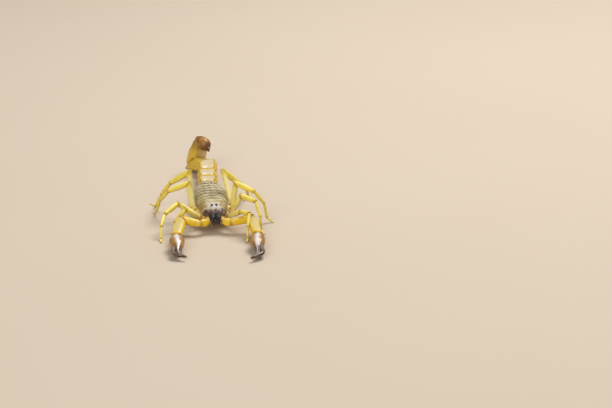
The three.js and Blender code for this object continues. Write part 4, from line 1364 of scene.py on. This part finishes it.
def build_hand(side):
    """The bulb and its fixed finger in one, with a painted highlight that runs along its top and turns
    inwards.
    """
    wrist, palm = arms[side][4], arms[side][5]
    along = unit(palm - wrist)
    _, middle, tip, out = finger_line(side, FINGER_TIPS[side], -0.1, FINGER_CURVE * 0.34)
    centre = [wrist - 0.3 * along, wrist + 0.45 * (palm - wrist), palm, middle, tip]
    hand_length = np.linalg.norm(palm - wrist)
    hand = hand_length / (hand_length + np.linalg.norm(tip - palm) * 1.02)
    widths = [(0, 0.7), (0.04, 1.1), (0.1, 1.45),
              (0.5 * hand, MANUS_HALF), (0.8 * hand, 0.9 * MANUS_HALF), (hand, 1.5),
              (hand + 0.1, 1.05), (hand + 0.3, 0.76), (0.88, 0.42), (0.96, 0.22), (1, 0.05)]

    def relief(s, turn):
        ribs = sum(bump(from_degrees(turn, degrees), 0, 0.13) for degrees in MANUS_RIBS)
        return 0.045 * ribs * window(s, 0.08, hand, 0.1)

    grid, s, turn, lie = horn(centre, widths, rows=84, cols=64, depth=MANUS_DEPTH, power=2.15,
                              relief=relief)
    finger = ease((s - hand + 0.06) / 0.2)
    tone = 0.12 + 0.8 * finger - 0.45 * ease((s - 0.9) / 0.06) + 0.3 * bump(s, 0.05, 0.03)
    # Painted shade under the bulb.
    tone = tone + 0.3 * np.maximum(0, -np.sin(turn)) ** 2 * (1 - finger)
    # A painted highlight along the top of the bulb, narrowing and turning inwards along the finger.
    highlight_turn = np.radians(90 - 20 * SIDES[side] * ease((s - 0.5 * hand) / 0.5))
    highlight_stripe = bump(from_degrees(turn - highlight_turn, 0), 0, 0.56 - 0.3 * ease(s / (0.8 * hand)))
    pale = (0.9 - 0.3 * finger) * highlight_stripe * window(s, 0.08, 0.86, 0.12)
    shell = Shell().add(grid, lie=lie, tone=tone, pale=pale,
                        grain=finger_teeth(grid, s, out, hand + 0.08), grit=0.12 * (1 - finger),
                        hair=(0.16 + 0.3 * finger) * window(s, 0.08, 0.97))
    make_piece(f"claw_{side}_hand", shell, "claw_amber", f"pedipalp_{side}_manus",
               coat="arms", grit_gap=0.5, grit_size=0.05)


def build_finger(side):
    along = unit(arms[side][5] - arms[side][4])
    start, middle, tip, out = finger_line(side, THUMB_TIPS[side], 0.9, FINGER_CURVE * 0.56)
    centre = [start + 0.1 * along, start + 0.28 * (middle - start), middle, tip]
    grid, s, turn, lie = horn(centre, MOVABLE_SHAPE, rows=64, cols=32)
    tone = 0.5 + 0.4 * ease(s / 0.25) - 0.25 * ease((s - 0.9) / 0.08)
    # The pale along the top of the finger, fading to the tip, is a painted highlight.
    shell = Shell().add(grid, lie=lie, tone=tone,
                        pale=0.2 * bump(from_degrees(turn, 90), 0, 0.5) * (1 - s),
                        grain=finger_teeth(grid, s, -out, 0.14), hair=0.45 * window(s, 0.1, 0.96))
    make_piece(f"claw_{side}_finger", shell, "claw_amber", f"pedipalp_{side}_movable_finger",
               coat="arms")


for side in SIDES:
    for index, (name, widths, depth) in enumerate(ARM_PIECES):
        build_arm_piece(side, index, name, widths, depth)
    build_hand(side)
    build_finger(side)
print("arm pieces:", 2 * (len(ARM_PIECES) + 2))

# %% [markdown]
# ## Jaws
# Two short stout jaws reach out from under the shield. Each is a barrel with a dark net
# marking, a fixed finger, and a movable finger on the outer side, both toothed.

# %% Chelicerae
JAW_X, JAW_CLOSE, JAW_Z, JAW_HALF, JAW_HAND, JAW_FINGER = 1.1, 0.3, 4.8, 1.05, 2.5, 1.7
JAW_SHAPE = [(0, 0.6), (0.1, 0.86), (0.5, 0.99), (0.8, 0.93), (0.95, 0.72), (1, 0.5)]
JAW_FINGER_SHAPE = [(0, 0.46), (0.3, 0.4), (0.75, 0.24), (1, 0.05)]
JAW_SPLIT = 0.07
JAW_FINGERS = [
    # outwards, down
    (0.42, 0.25), (-0.42, 0.5),
]


def build_jaw(side_name):
    """The barrel is cut flat by the midline, so that the two jaws don't meet."""
    side = SIDES[side_name]
    root = np.array([side * JAW_X, 1.0, JAW_Z + 0.15])
    palm = np.array([side * (JAW_X - JAW_CLOSE), -0.35 - JAW_HAND, JAW_Z - 0.25])
    path = [root, (root + palm) / 2 + (0, 0, 0.12), palm + (0, -0.25, 0)]
    widths = [(share, size * JAW_HALF) for share, size in JAW_SHAPE]
    grid, s, _, lie = horn(path, widths, rows=40, cols=40, power=2.5)
    grid[..., 0] = side * np.maximum(side * grid[..., 0], JAW_SPLIT)
    shell = Shell().add(grid, lie=lie, tone=0.3 + 0.5 * s, pale=0.3 * (1 - ease(s / 0.45)),
                        hair=0.5 * ease((s - 0.5) / 0.3))
    for spread, drop in JAW_FINGERS:
        start = palm + (side * spread * 0.75, 0.35, 0.05)
        bend = palm + (side * spread * 1.15, -0.85, -drop)
        tip = palm + (side * spread * 0.35, -JAW_FINGER, -drop - 0.72)
        grid, s, _, lie = horn([start, bend, tip], JAW_FINGER_SHAPE, rows=26, cols=18)
        inward = np.array([-side * np.sign(spread), 0, 0])
        shell.add(grid, lie=lie, tone=0.45 + 0.5 * ease(s / 0.6),
                  grain=1.3 * finger_teeth(grid, s, inward, 0.3))
    make_piece(f"jaw_{side_name}", shell, "mouth_dark", f"chelicera_{side_name}", coat="body")


for side in SIDES:
    build_jaw(side)
print("jaws:", len(SIDES))

# %% [markdown]
# ## Under the body
# The bases of the legs meet under the head like the staves of a fan. Those of the first
# two pairs reach forward as lobes under the mouth. Behind them lie a small pointed
# breastplate, the paired flaps over the genital opening, and the combs.

# %% Leg bases, breastplate and flaps
POLE = 0.06


def pad(centre, size, rows=18, cols=36, point=0.0, power=0.8):
    """A smooth low cushion: size is (half width, half length, half height)."""
    lean = np.linspace(POLE, math.pi - POLE, rows)[:, None]
    turn = ring_angles(cols)[None, :]
    y = np.broadcast_to(-np.cos(lean), (rows, cols))
    narrow = 1 - point * (1 - y) / 2
    x = power_of(np.sin(lean), power) * np.cos(turn) * narrow
    z = power_of(np.sin(lean), power) * np.sin(turn)
    return np.array(centre) + np.stack([x, y, z], 2) * np.array(size)


BASE_HALVES, BASE_DEPTH, BASE_TOP = {1: 1.2, 2: 1.3, 3: 1.5, 4: 1.75}, 0.92, 4.75
BASE_ROOTS = {1: (0.85, 3.3), 2: (0.55, 5.0), 3: (0.45, 7.0), 4: (0.75, 9.6)}
BASE_SHAPE = [(0, 0.55), (0.1, 0.72), (0.5, 1.0), (0.84, 0.96), (1, 0.76)]
ARM_BASE_SHAPE = [(0, 0.85), (0.2, 1.15), (0.6, 1.25), (1, 1.12)]
LOBE_SHAPE = [(0, 0.6), (0.6, 0.52), (1, 0.24)]
# centre and half sizes of each cushion
BREASTPLATE = ((0, 8.35, 2.72), (0.62, 1.15, 0.42))
LEFT_FLAP, RIGHT_FLAP = [((mirror * 0.8, 10.7, 2.72), (0.86, 0.95, 0.32)) for mirror in SIDES.values()]
COMB_BRIDGE = ((0, 12.5, 2.66), (1.5, 0.75, 0.4))


def base_relief(s, turn):
    return 0.07 * both_sides(turn, -30, 0.15)


def add_lobe(shell, mirror, number, root_y):
    """A mouth lobe: the first leg's runs outside that of the second and stops behind it."""
    outer, reach = (0.5, 0.0) if number == 1 else (0.0, 0.5)
    path = [np.array((mirror * (0.85 + outer), root_y, 3.05)),
            np.array((mirror * (0.62 + 1.1 * outer), 1.6, 3.0)),
            np.array((mirror * (0.42 + outer), 0.5 - reach, 3.3))]
    grid, s, _, lie = horn(path, LOBE_SHAPE, rows=20, cols=20)
    shell.add(grid, lie=lie, tone=0.1 + 0.2 * s, hair=0.8 * ease(s))


def build_bases():
    shell = Shell()
    for (side, number), path in legs.items():
        inner, root_y = BASE_ROOTS[number]
        broad = BASE_HALVES[number]
        widths = [(share, size * broad) for share, size in BASE_SHAPE]
        root = np.array((SIDES[side] * inner, root_y, 3.4))
        grid, s, turn, along = limb([root, path[1], path[2]], 0, widths, BASE_DEPTH / broad, 3.0, UP,
                                    30, 44, base_relief)
        grid[..., 2] = np.minimum(grid[..., 2], BASE_TOP)
        edges = 0.3 * both_sides(turn, -30, 0.2)
        shell.add(grid, lie=along, tone=0.05 + 0.45 * bump(s, 1, 0.06) + edges,
                  pale=0.3 * bump(from_degrees(turn, -90), 0, 0.6), hair=0.25 * window(s, 0.1, 0.9))
        if number < 3:
            add_lobe(shell, SIDES[side], number, root_y)
    for path in arms.values():
        grid, s, turn, along = limb(path, 0, ARM_BASE_SHAPE, 0.85, 2.4, UP, 30, 36)
        shell.add(grid, lie=along, tone=0.1 + 0.4 * bump(s, 1, 0.06), hair=0.3 * window(s, 0.2, 0.9))
    make_piece("leg_bases", shell, "underside_cream", "coxal_region", coat="body")
    breast = pad(*BREASTPLATE, power=0.55, point=0.5)
    make_piece("breastplate", Shell().add(breast, tone=0.12, pale=0.2), "underside_cream", "coxal_region")
    shell = Shell()
    for flap in (LEFT_FLAP, RIGHT_FLAP):
        shell.add(pad(*flap, power=0.6), tone=0.08, pale=0.25)
    shell.add(pad(*COMB_BRIDGE, power=0.6), tone=0.16)
    make_piece("belly_flaps", shell, "underside_cream", "coxal_region")


build_bases()
print("under the body: 3 pieces")

# %% [markdown]
# ## Combs
# Behind the flaps hang two feathery combs that sense the ground. Each has a jointed spine,
# a chain of small middle plates, and a row of blunt teeth. The teeth are one paddle set
# along a line by a tree, so their number and size are two inputs.

# %% The comb tree
COMB_LENGTH, COMB_TEETH, COMB_TURN = 6.402, 16, 48
comb_teeth, given = new_tree("comb_teeth", "GeometryNodeTree", [
    ("Geometry", "Geometry", None), ("Teeth", "Int", COMB_TEETH), ("Length", "Float", 0.0009),
    ("Width", "Float", 0.00032), ("Thickness", "Float", 0.0004), ("Finish", "Material", None),
], [("Geometry", "Geometry")])
spine = put(comb_teeth, "GeometryNodeMeshToCurve", {"Mesh": given["Geometry"]})
spine = put(comb_teeth, "GeometryNodeResampleCurve", {"Curve": spine.outputs[0], "Count": given["Teeth"]})
paddle = put(comb_teeth, "GeometryNodeMeshUVSphere", {"Segments": 10, "Rings": 7, "Radius": 0.5})
paddle = put(comb_teeth, "GeometryNodeTransform", {
    "Geometry": paddle.outputs[0], "Translation": (0, 0, 0.5)})
paddle = put(comb_teeth, "GeometryNodeSetShadeSmooth", {"Geometry": paddle.outputs[0]})
size = put(comb_teeth, "ShaderNodeCombineXYZ", {
    0: given["Width"], 1: given["Thickness"], 2: given["Length"]})
facing = put(comb_teeth, "FunctionNodeAxesToRotation", {
    "Primary Axis": mark_of(comb_teeth, "lie", vector=True), "Secondary Axis": (0, 0, 1)},
    primary_axis="Z", secondary_axis="Y")
row = put(comb_teeth, "GeometryNodeInstanceOnPoints", {
    "Points": spine.outputs[0], "Instance": paddle.outputs[0],
    "Rotation": facing.outputs[0], "Scale": size.outputs[0]})
real = put(comb_teeth, "GeometryNodeRealizeInstances", {"Geometry": row.outputs[0]})
dressed = put(comb_teeth, "GeometryNodeSetMaterial", {
    "Geometry": real.outputs[0], "Material": given["Finish"]})
put(comb_teeth, "NodeGroupOutput", {"Geometry": dressed.outputs[0]})


# %% Two combs
COMB_PLATES, COMB_SPOTS = 8, 30
COMB_BASE, COMB_BOW = (0.85, 13.75, 2.05), 1.35
SPINE_LINE, PLATE_LINE, KNOB_LINE, TOOTH_LINE = 0.14, 0.52, 0.82, 0.85


def join_pieces(target, other):
    """Adds the other object's faces to the target's mesh, and removes the other."""
    work = bmesh.new()
    work.from_mesh(target.data)
    work.from_mesh(other.data)
    work.to_mesh(target.data)
    work.free()
    bpy.data.objects.remove(other)
    return target


def build_comb(side_name):
    side = SIDES[side_name]
    turn = math.radians(COMB_TURN)
    out = np.array([side * math.cos(turn), math.sin(turn), 0])
    back = np.array([-side * math.sin(turn), math.cos(turn), 0])
    base = np.array(COMB_BASE) * (side, 1, 1)

    def on_comb(t, behind):
        return base + out * COMB_LENGTH * t + back * (behind - COMB_BOW * t * (1 - t))

    shell = Shell()
    for k in range(3):
        a, b = 0.02 + 0.33 * k, 0.33 + 0.33 * k
        chain = [on_comb(t, SPINE_LINE) for t in (a, (a + b) / 2, b)]
        widths = [(0, 0.2), (0.15, 0.34), (0.8, 0.3 - 0.04 * k), (1, 0.15)]
        shell.add(horn(chain, widths, rows=16, cols=14, depth=0.85)[0], lie=out, tone=0.1, hair=0.9)
    for k in range(COMB_PLATES):
        middle_plate = pad(on_comb(0.07 + 0.118 * k, PLATE_LINE), (0.36, 0.3, 0.2), rows=8, cols=12)
        shell.add(middle_plate, lie=out, tone=0.05, pale=0.3)
    for k in range(COMB_TEETH - 1):
        knob = pad(on_comb(0.045 + 0.061 * k, KNOB_LINE), (0.15, 0.15, 0.16), rows=6, cols=8)
        shell.add(knob, lie=out, tone=0.2)
    comb = make_piece(f"comb_{side_name}", shell, "underside_cream", f"pectine_{side_name}", coat="body")

    line = bpy.data.meshes.new("comb line")
    spots = np.array([on_comb(t, TOOTH_LINE) for t in np.linspace(0.02, 0.98, COMB_SPOTS)])
    line.from_pydata(spots * MM + SHIFT, [(i, i + 1) for i in range(COMB_SPOTS - 1)], [])
    reach = np.tile(unit(back + 0.25 * out), (COMB_SPOTS, 1)).astype(np.float32)
    line.attributes.new("lie", "FLOAT_VECTOR", "POINT").data.foreach_set("vector", reach.ravel())
    holder = bpy.data.objects.new("comb line", line)
    bpy.context.collection.objects.link(holder)
    wear_tree(holder, comb_teeth, Finish=finishes["underside_cream"])
    return join_pieces(comb, holder)


combs = [build_comb(side) for side in SIDES]
print("comb faces:", [len(comb.data.polygons) for comb in combs])

# %% [markdown]
# ## The soft skin
# Between the plates the animal is soft: pleated flanks between back and belly, and folded
# collars at each joint. This is one skin, a little inside the shells, so that every gap
# shows flesh and not a hole.

# %% Trunk skin and joint folds
SKIN_START, SKIN_END, SKIN_ROWS, SKIN_MIDDLE = 0.9, 31.3, 150, 4.6
HEAD_UNDER, BELLY_UNDER, BELLY_START = 3.75, 2.95, 12.6
FOLD_PLEATS, FOLD_DEPTH = 14, 0.035
ARM_FOLDS = [0.98, 0.98, 1.1, 1.15]
TAIL_FOLDS = [2.45, 2.4, 2.3, 2.1, 1.9, 1.0]


def fold_ball(centre, axis, radius):
    """A ball with small pleats round its axis, for the flesh inside a joint."""
    side, up = across(axis, UP if abs(axis[2]) < 0.9 else AHEAD)
    lean = np.linspace(0.1, math.pi - 0.1, 19)[:, None]
    turn = ring_angles(26)[None, :]
    out = np.sin(lean) * (1 + FOLD_DEPTH * np.cos(lean * FOLD_PLEATS)) * radius
    spread = (out * np.cos(turn))[..., None] * side + (out * np.sin(turn))[..., None] * up
    return centre + spread - (np.cos(lean) * radius)[..., None] * axis


def add_folds(shell, path, sizes, **marks):
    """One ball at each joint of a path, none of them below the floor."""
    for index, radius in enumerate(sizes, start=1):
        ball = fold_ball(path[index], joint_plane(*path[index - 1:index + 2]), radius)
        ball[..., 2] = np.maximum(ball[..., 2], FLOOR_ROOM)
        shell.add(ball, **marks)


def leg_folds(number):
    """Radii from the hip out, each inside the thinner of the two pieces that meet there."""
    halves = (LEG_HALVES[number][0], *LEG_HALVES[number])
    near = [0.84, 0.84, 0.76, 0.76, 0.76]
    return [share * min(halves[i], halves[i + 1]) for i, share in enumerate(near)]


def trunk_skin():
    """A pleated hose from under the head shield to the tail, inside every plate."""
    y = np.linspace(SKIN_START, SKIN_END, SKIN_ROWS)
    t = np.clip((y - TRUNK_START) / TRUNK_LENGTH, 0, 1)
    share = np.clip(y / CARAPACE_LENGTH, 0, 1)
    blend = ease((y - CARAPACE_LENGTH + 0.8) / 1.4)
    half = (shield_half(share) - 0.42) * (1 - blend) + (trunk_half(t) - 0.14) * blend
    top = (shield_top(share) - 0.5) * (1 - blend) + (trunk_top(t) - 0.42) * blend
    belly = ease((y - BELLY_START) / 1.2)
    under = np.where(y < BELLY_START + 1, HEAD_UNDER, BELLY_UNDER) * (1 - belly) + BELLY_UNDER * belly
    ends = np.minimum(np.clip((SKIN_END - y) / 0.7, 0, 1), np.clip((y - SKIN_START) / 0.5, 0, 1)) ** 0.5
    half = half * (0.55 + 0.45 * ends)
    top = SKIN_MIDDLE + (top - SKIN_MIDDLE) * (0.5 + 0.5 * ends)
    under = SKIN_MIDDLE + (under - SKIN_MIDDLE) * (0.4 + 0.6 * ends)
    grid = trunk_arc(y, half, top, under, np.linspace(0, 360, 97)[:-1], 2.5)
    flank = bump(np.abs(grid[..., 0]), half[:, None], 0.7)
    pleats = 0.07 * np.cos(grid[..., 2] * 9.0 + 0.6 * np.sin(y[:, None] * 1.7)) * flank
    cross = 0.03 * np.cos(y[:, None] * 7.5) * flank
    grid = grid + outward(grid) * (pleats + cross)[..., None]
    # The hollows of the pleats are darker: painted shade in the creases.
    return Shell().add(grid, tone=0.25 + 2.2 * np.maximum(0, -pleats), pale=0.4 * flank)


def build_skin():
    shell = trunk_skin()
    for (_, number), path in legs.items():
        add_folds(shell, path, leg_folds(number), tone=0.3, pale=0.25)
    for path in arms.values():
        add_folds(shell, path, ARM_FOLDS, tone=0.35, pale=0.2)
    add_folds(shell, tail, [0.92 * radius for radius in TAIL_FOLDS], tone=0.3, pale=0.3)
    return make_piece("soft_skin", shell, "soft_skin", "mesosoma", "coxal_region", slot="underside_cream")


skin = build_skin()
print("soft skin:", len(skin.data.polygons), "faces")

# %% [markdown]
# ## Set the bristles
# The hairy shells lend their points once more, as ground for three coats: long fine
# hairs on body and arms, short stiff ones on the legs.

# %% Three coats
COATS = {
    # coat: hairs per square mm, length mm, slenderness, slot
    "body": (2.0, 0.62, 0.035, "tail_sand"),
    "arms": (2.2, 0.66, 0.035, "arm_yellow"),
    "legs": (3.4, 0.46, 0.05, "leg_yellow"),
}


def build_coat(name, density, length, slenderness, slot):
    ground = Shell()
    for shell in hairy_shells[name]:
        ground.faces += [[corner + ground.count for corner in face] for face in shell.faces]
        ground.points += shell.points
        ground.maps += shell.maps
        ground.lie += shell.lie
        for mark in MARKS:
            ground.marks[mark] += shell.marks[mark]
        ground.count += shell.count
    coat = bpy.data.objects.new(f"bristles_{name}", ground.mesh(f"bristles_{name}"))
    bpy.context.collection.objects.link(coat)
    wear_tree(coat, bristles, **{
        "Per Square Metre": density * 1e6, "Length": length * MM, "Slenderness": slenderness,
        "Seed": 5 + len(name), "Finish": finishes["bristle_straw"]})
    for mark in (*MARKS, "lie", "ShellMap", "own"):
        if mark in coat.data.attributes:
            coat.data.attributes.remove(coat.data.attributes[mark])
    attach(coat, "root")
    return coat


coats = [build_coat(name, *values) for name, values in COATS.items()]
print("bristle faces:", [len(coat.data.polygons) for coat in coats])
print("bristle map:", [uv.name for uv in coats[0].data.uv_layers])

# %% [markdown]
# ## Floor, light and camera
# A plain pale floor, one big soft light overhead and a weak one in front, with a pale
# sky all round. The camera looks down on the animal from in front and to its right,
# far off with a long lens.

# %% Stage
FLOOR_HALF = 3.0


def build_floor():
    work = bmesh.new()
    bmesh.ops.create_grid(work, x_segments=8, y_segments=8, size=FLOOR_HALF)
    data = bpy.data.meshes.new("floor")
    work.to_mesh(data)
    work.free()
    material = bpy.data.materials.new("pale_floor")
    material.use_nodes = True
    tree = material.node_tree
    spot = put(tree, "ShaderNodeTexCoord", {}).outputs["Object"]
    cloud = put(tree, "ShaderNodeTexNoise", {"Vector": spot, "Scale": 8.0, "Detail": 3.0}).outputs[0]
    color = mix_paint(tree, cloud, paint(204, 189, 170), paint(200, 184, 164))
    tree.links.new(color, tree.nodes["Principled BSDF"].inputs["Base Color"])
    tree.nodes["Principled BSDF"].inputs["Roughness"].default_value = 0.9
    data.materials.append(material)
    floor = bpy.data.objects.new("floor", data)
    bpy.context.collection.objects.link(floor)


def soft_light(name, place, aim, size, watts, color):
    light = bpy.data.lights.new(name, "AREA")
    light.shape, light.size, light.energy, light.color = "DISK", size, watts, color
    holder = bpy.data.objects.new(name, light)
    bpy.context.collection.objects.link(holder)
    holder.location = place
    holder.rotation_mode = "QUATERNION"
    holder.rotation_quaternion = (Vector(aim) - Vector(place)).to_track_quat("-Z", "Y")


build_floor()
soft_light("overhead", (0.3, 0.24, 0.7), (0, 0, 0), 0.5, 6.0, (1.0, 0.98, 0.95))
soft_light("front", (-0.4, -0.75, 0.5), (0, 0, 0), 0.6, 4.2, (1.0, 0.98, 0.95))
world = bpy.data.worlds.new("pale sky")
world.use_nodes = True
world.node_tree.nodes["Background"].inputs["Color"].default_value = paint(226, 228, 232)
world.node_tree.nodes["Background"].inputs["Strength"].default_value = 0.4
bpy.context.scene.world = world
bpy.context.scene.view_settings.view_transform = "Standard"
print("lights:", len(bpy.data.lights))

# %% Camera
LENS, CAMERA_TURN, CAMERA_DROP, CAMERA_REACH = 100.0, 7.5, 19.0, 0.5449
AIM_RIGHT, AIM_UP = 0.0292, 0.0022
turn, drop = math.radians(CAMERA_TURN), math.radians(CAMERA_DROP)
forward = np.array([math.sin(turn) * math.cos(drop), math.cos(turn) * math.cos(drop), -math.sin(drop)])
right, above = across(forward, UP)
head = SHIFT + MM * np.array([0, 0, 6.5])
place = head - forward * CAMERA_REACH + right * AIM_RIGHT + above * AIM_UP
camera = bpy.data.objects.new("camera", bpy.data.cameras.new("camera"))
camera.data.lens = LENS
camera.data.clip_start, camera.data.clip_end = 0.01, 20.0
camera.location = place
camera.rotation_mode = "QUATERNION"
camera.rotation_quaternion = Matrix(np.stack([right, above, -forward], axis=1).tolist()).to_quaternion()
bpy.context.collection.objects.link(camera)
bpy.context.scene.camera = camera
print("camera at mm:", np.round(place / MM, 1))
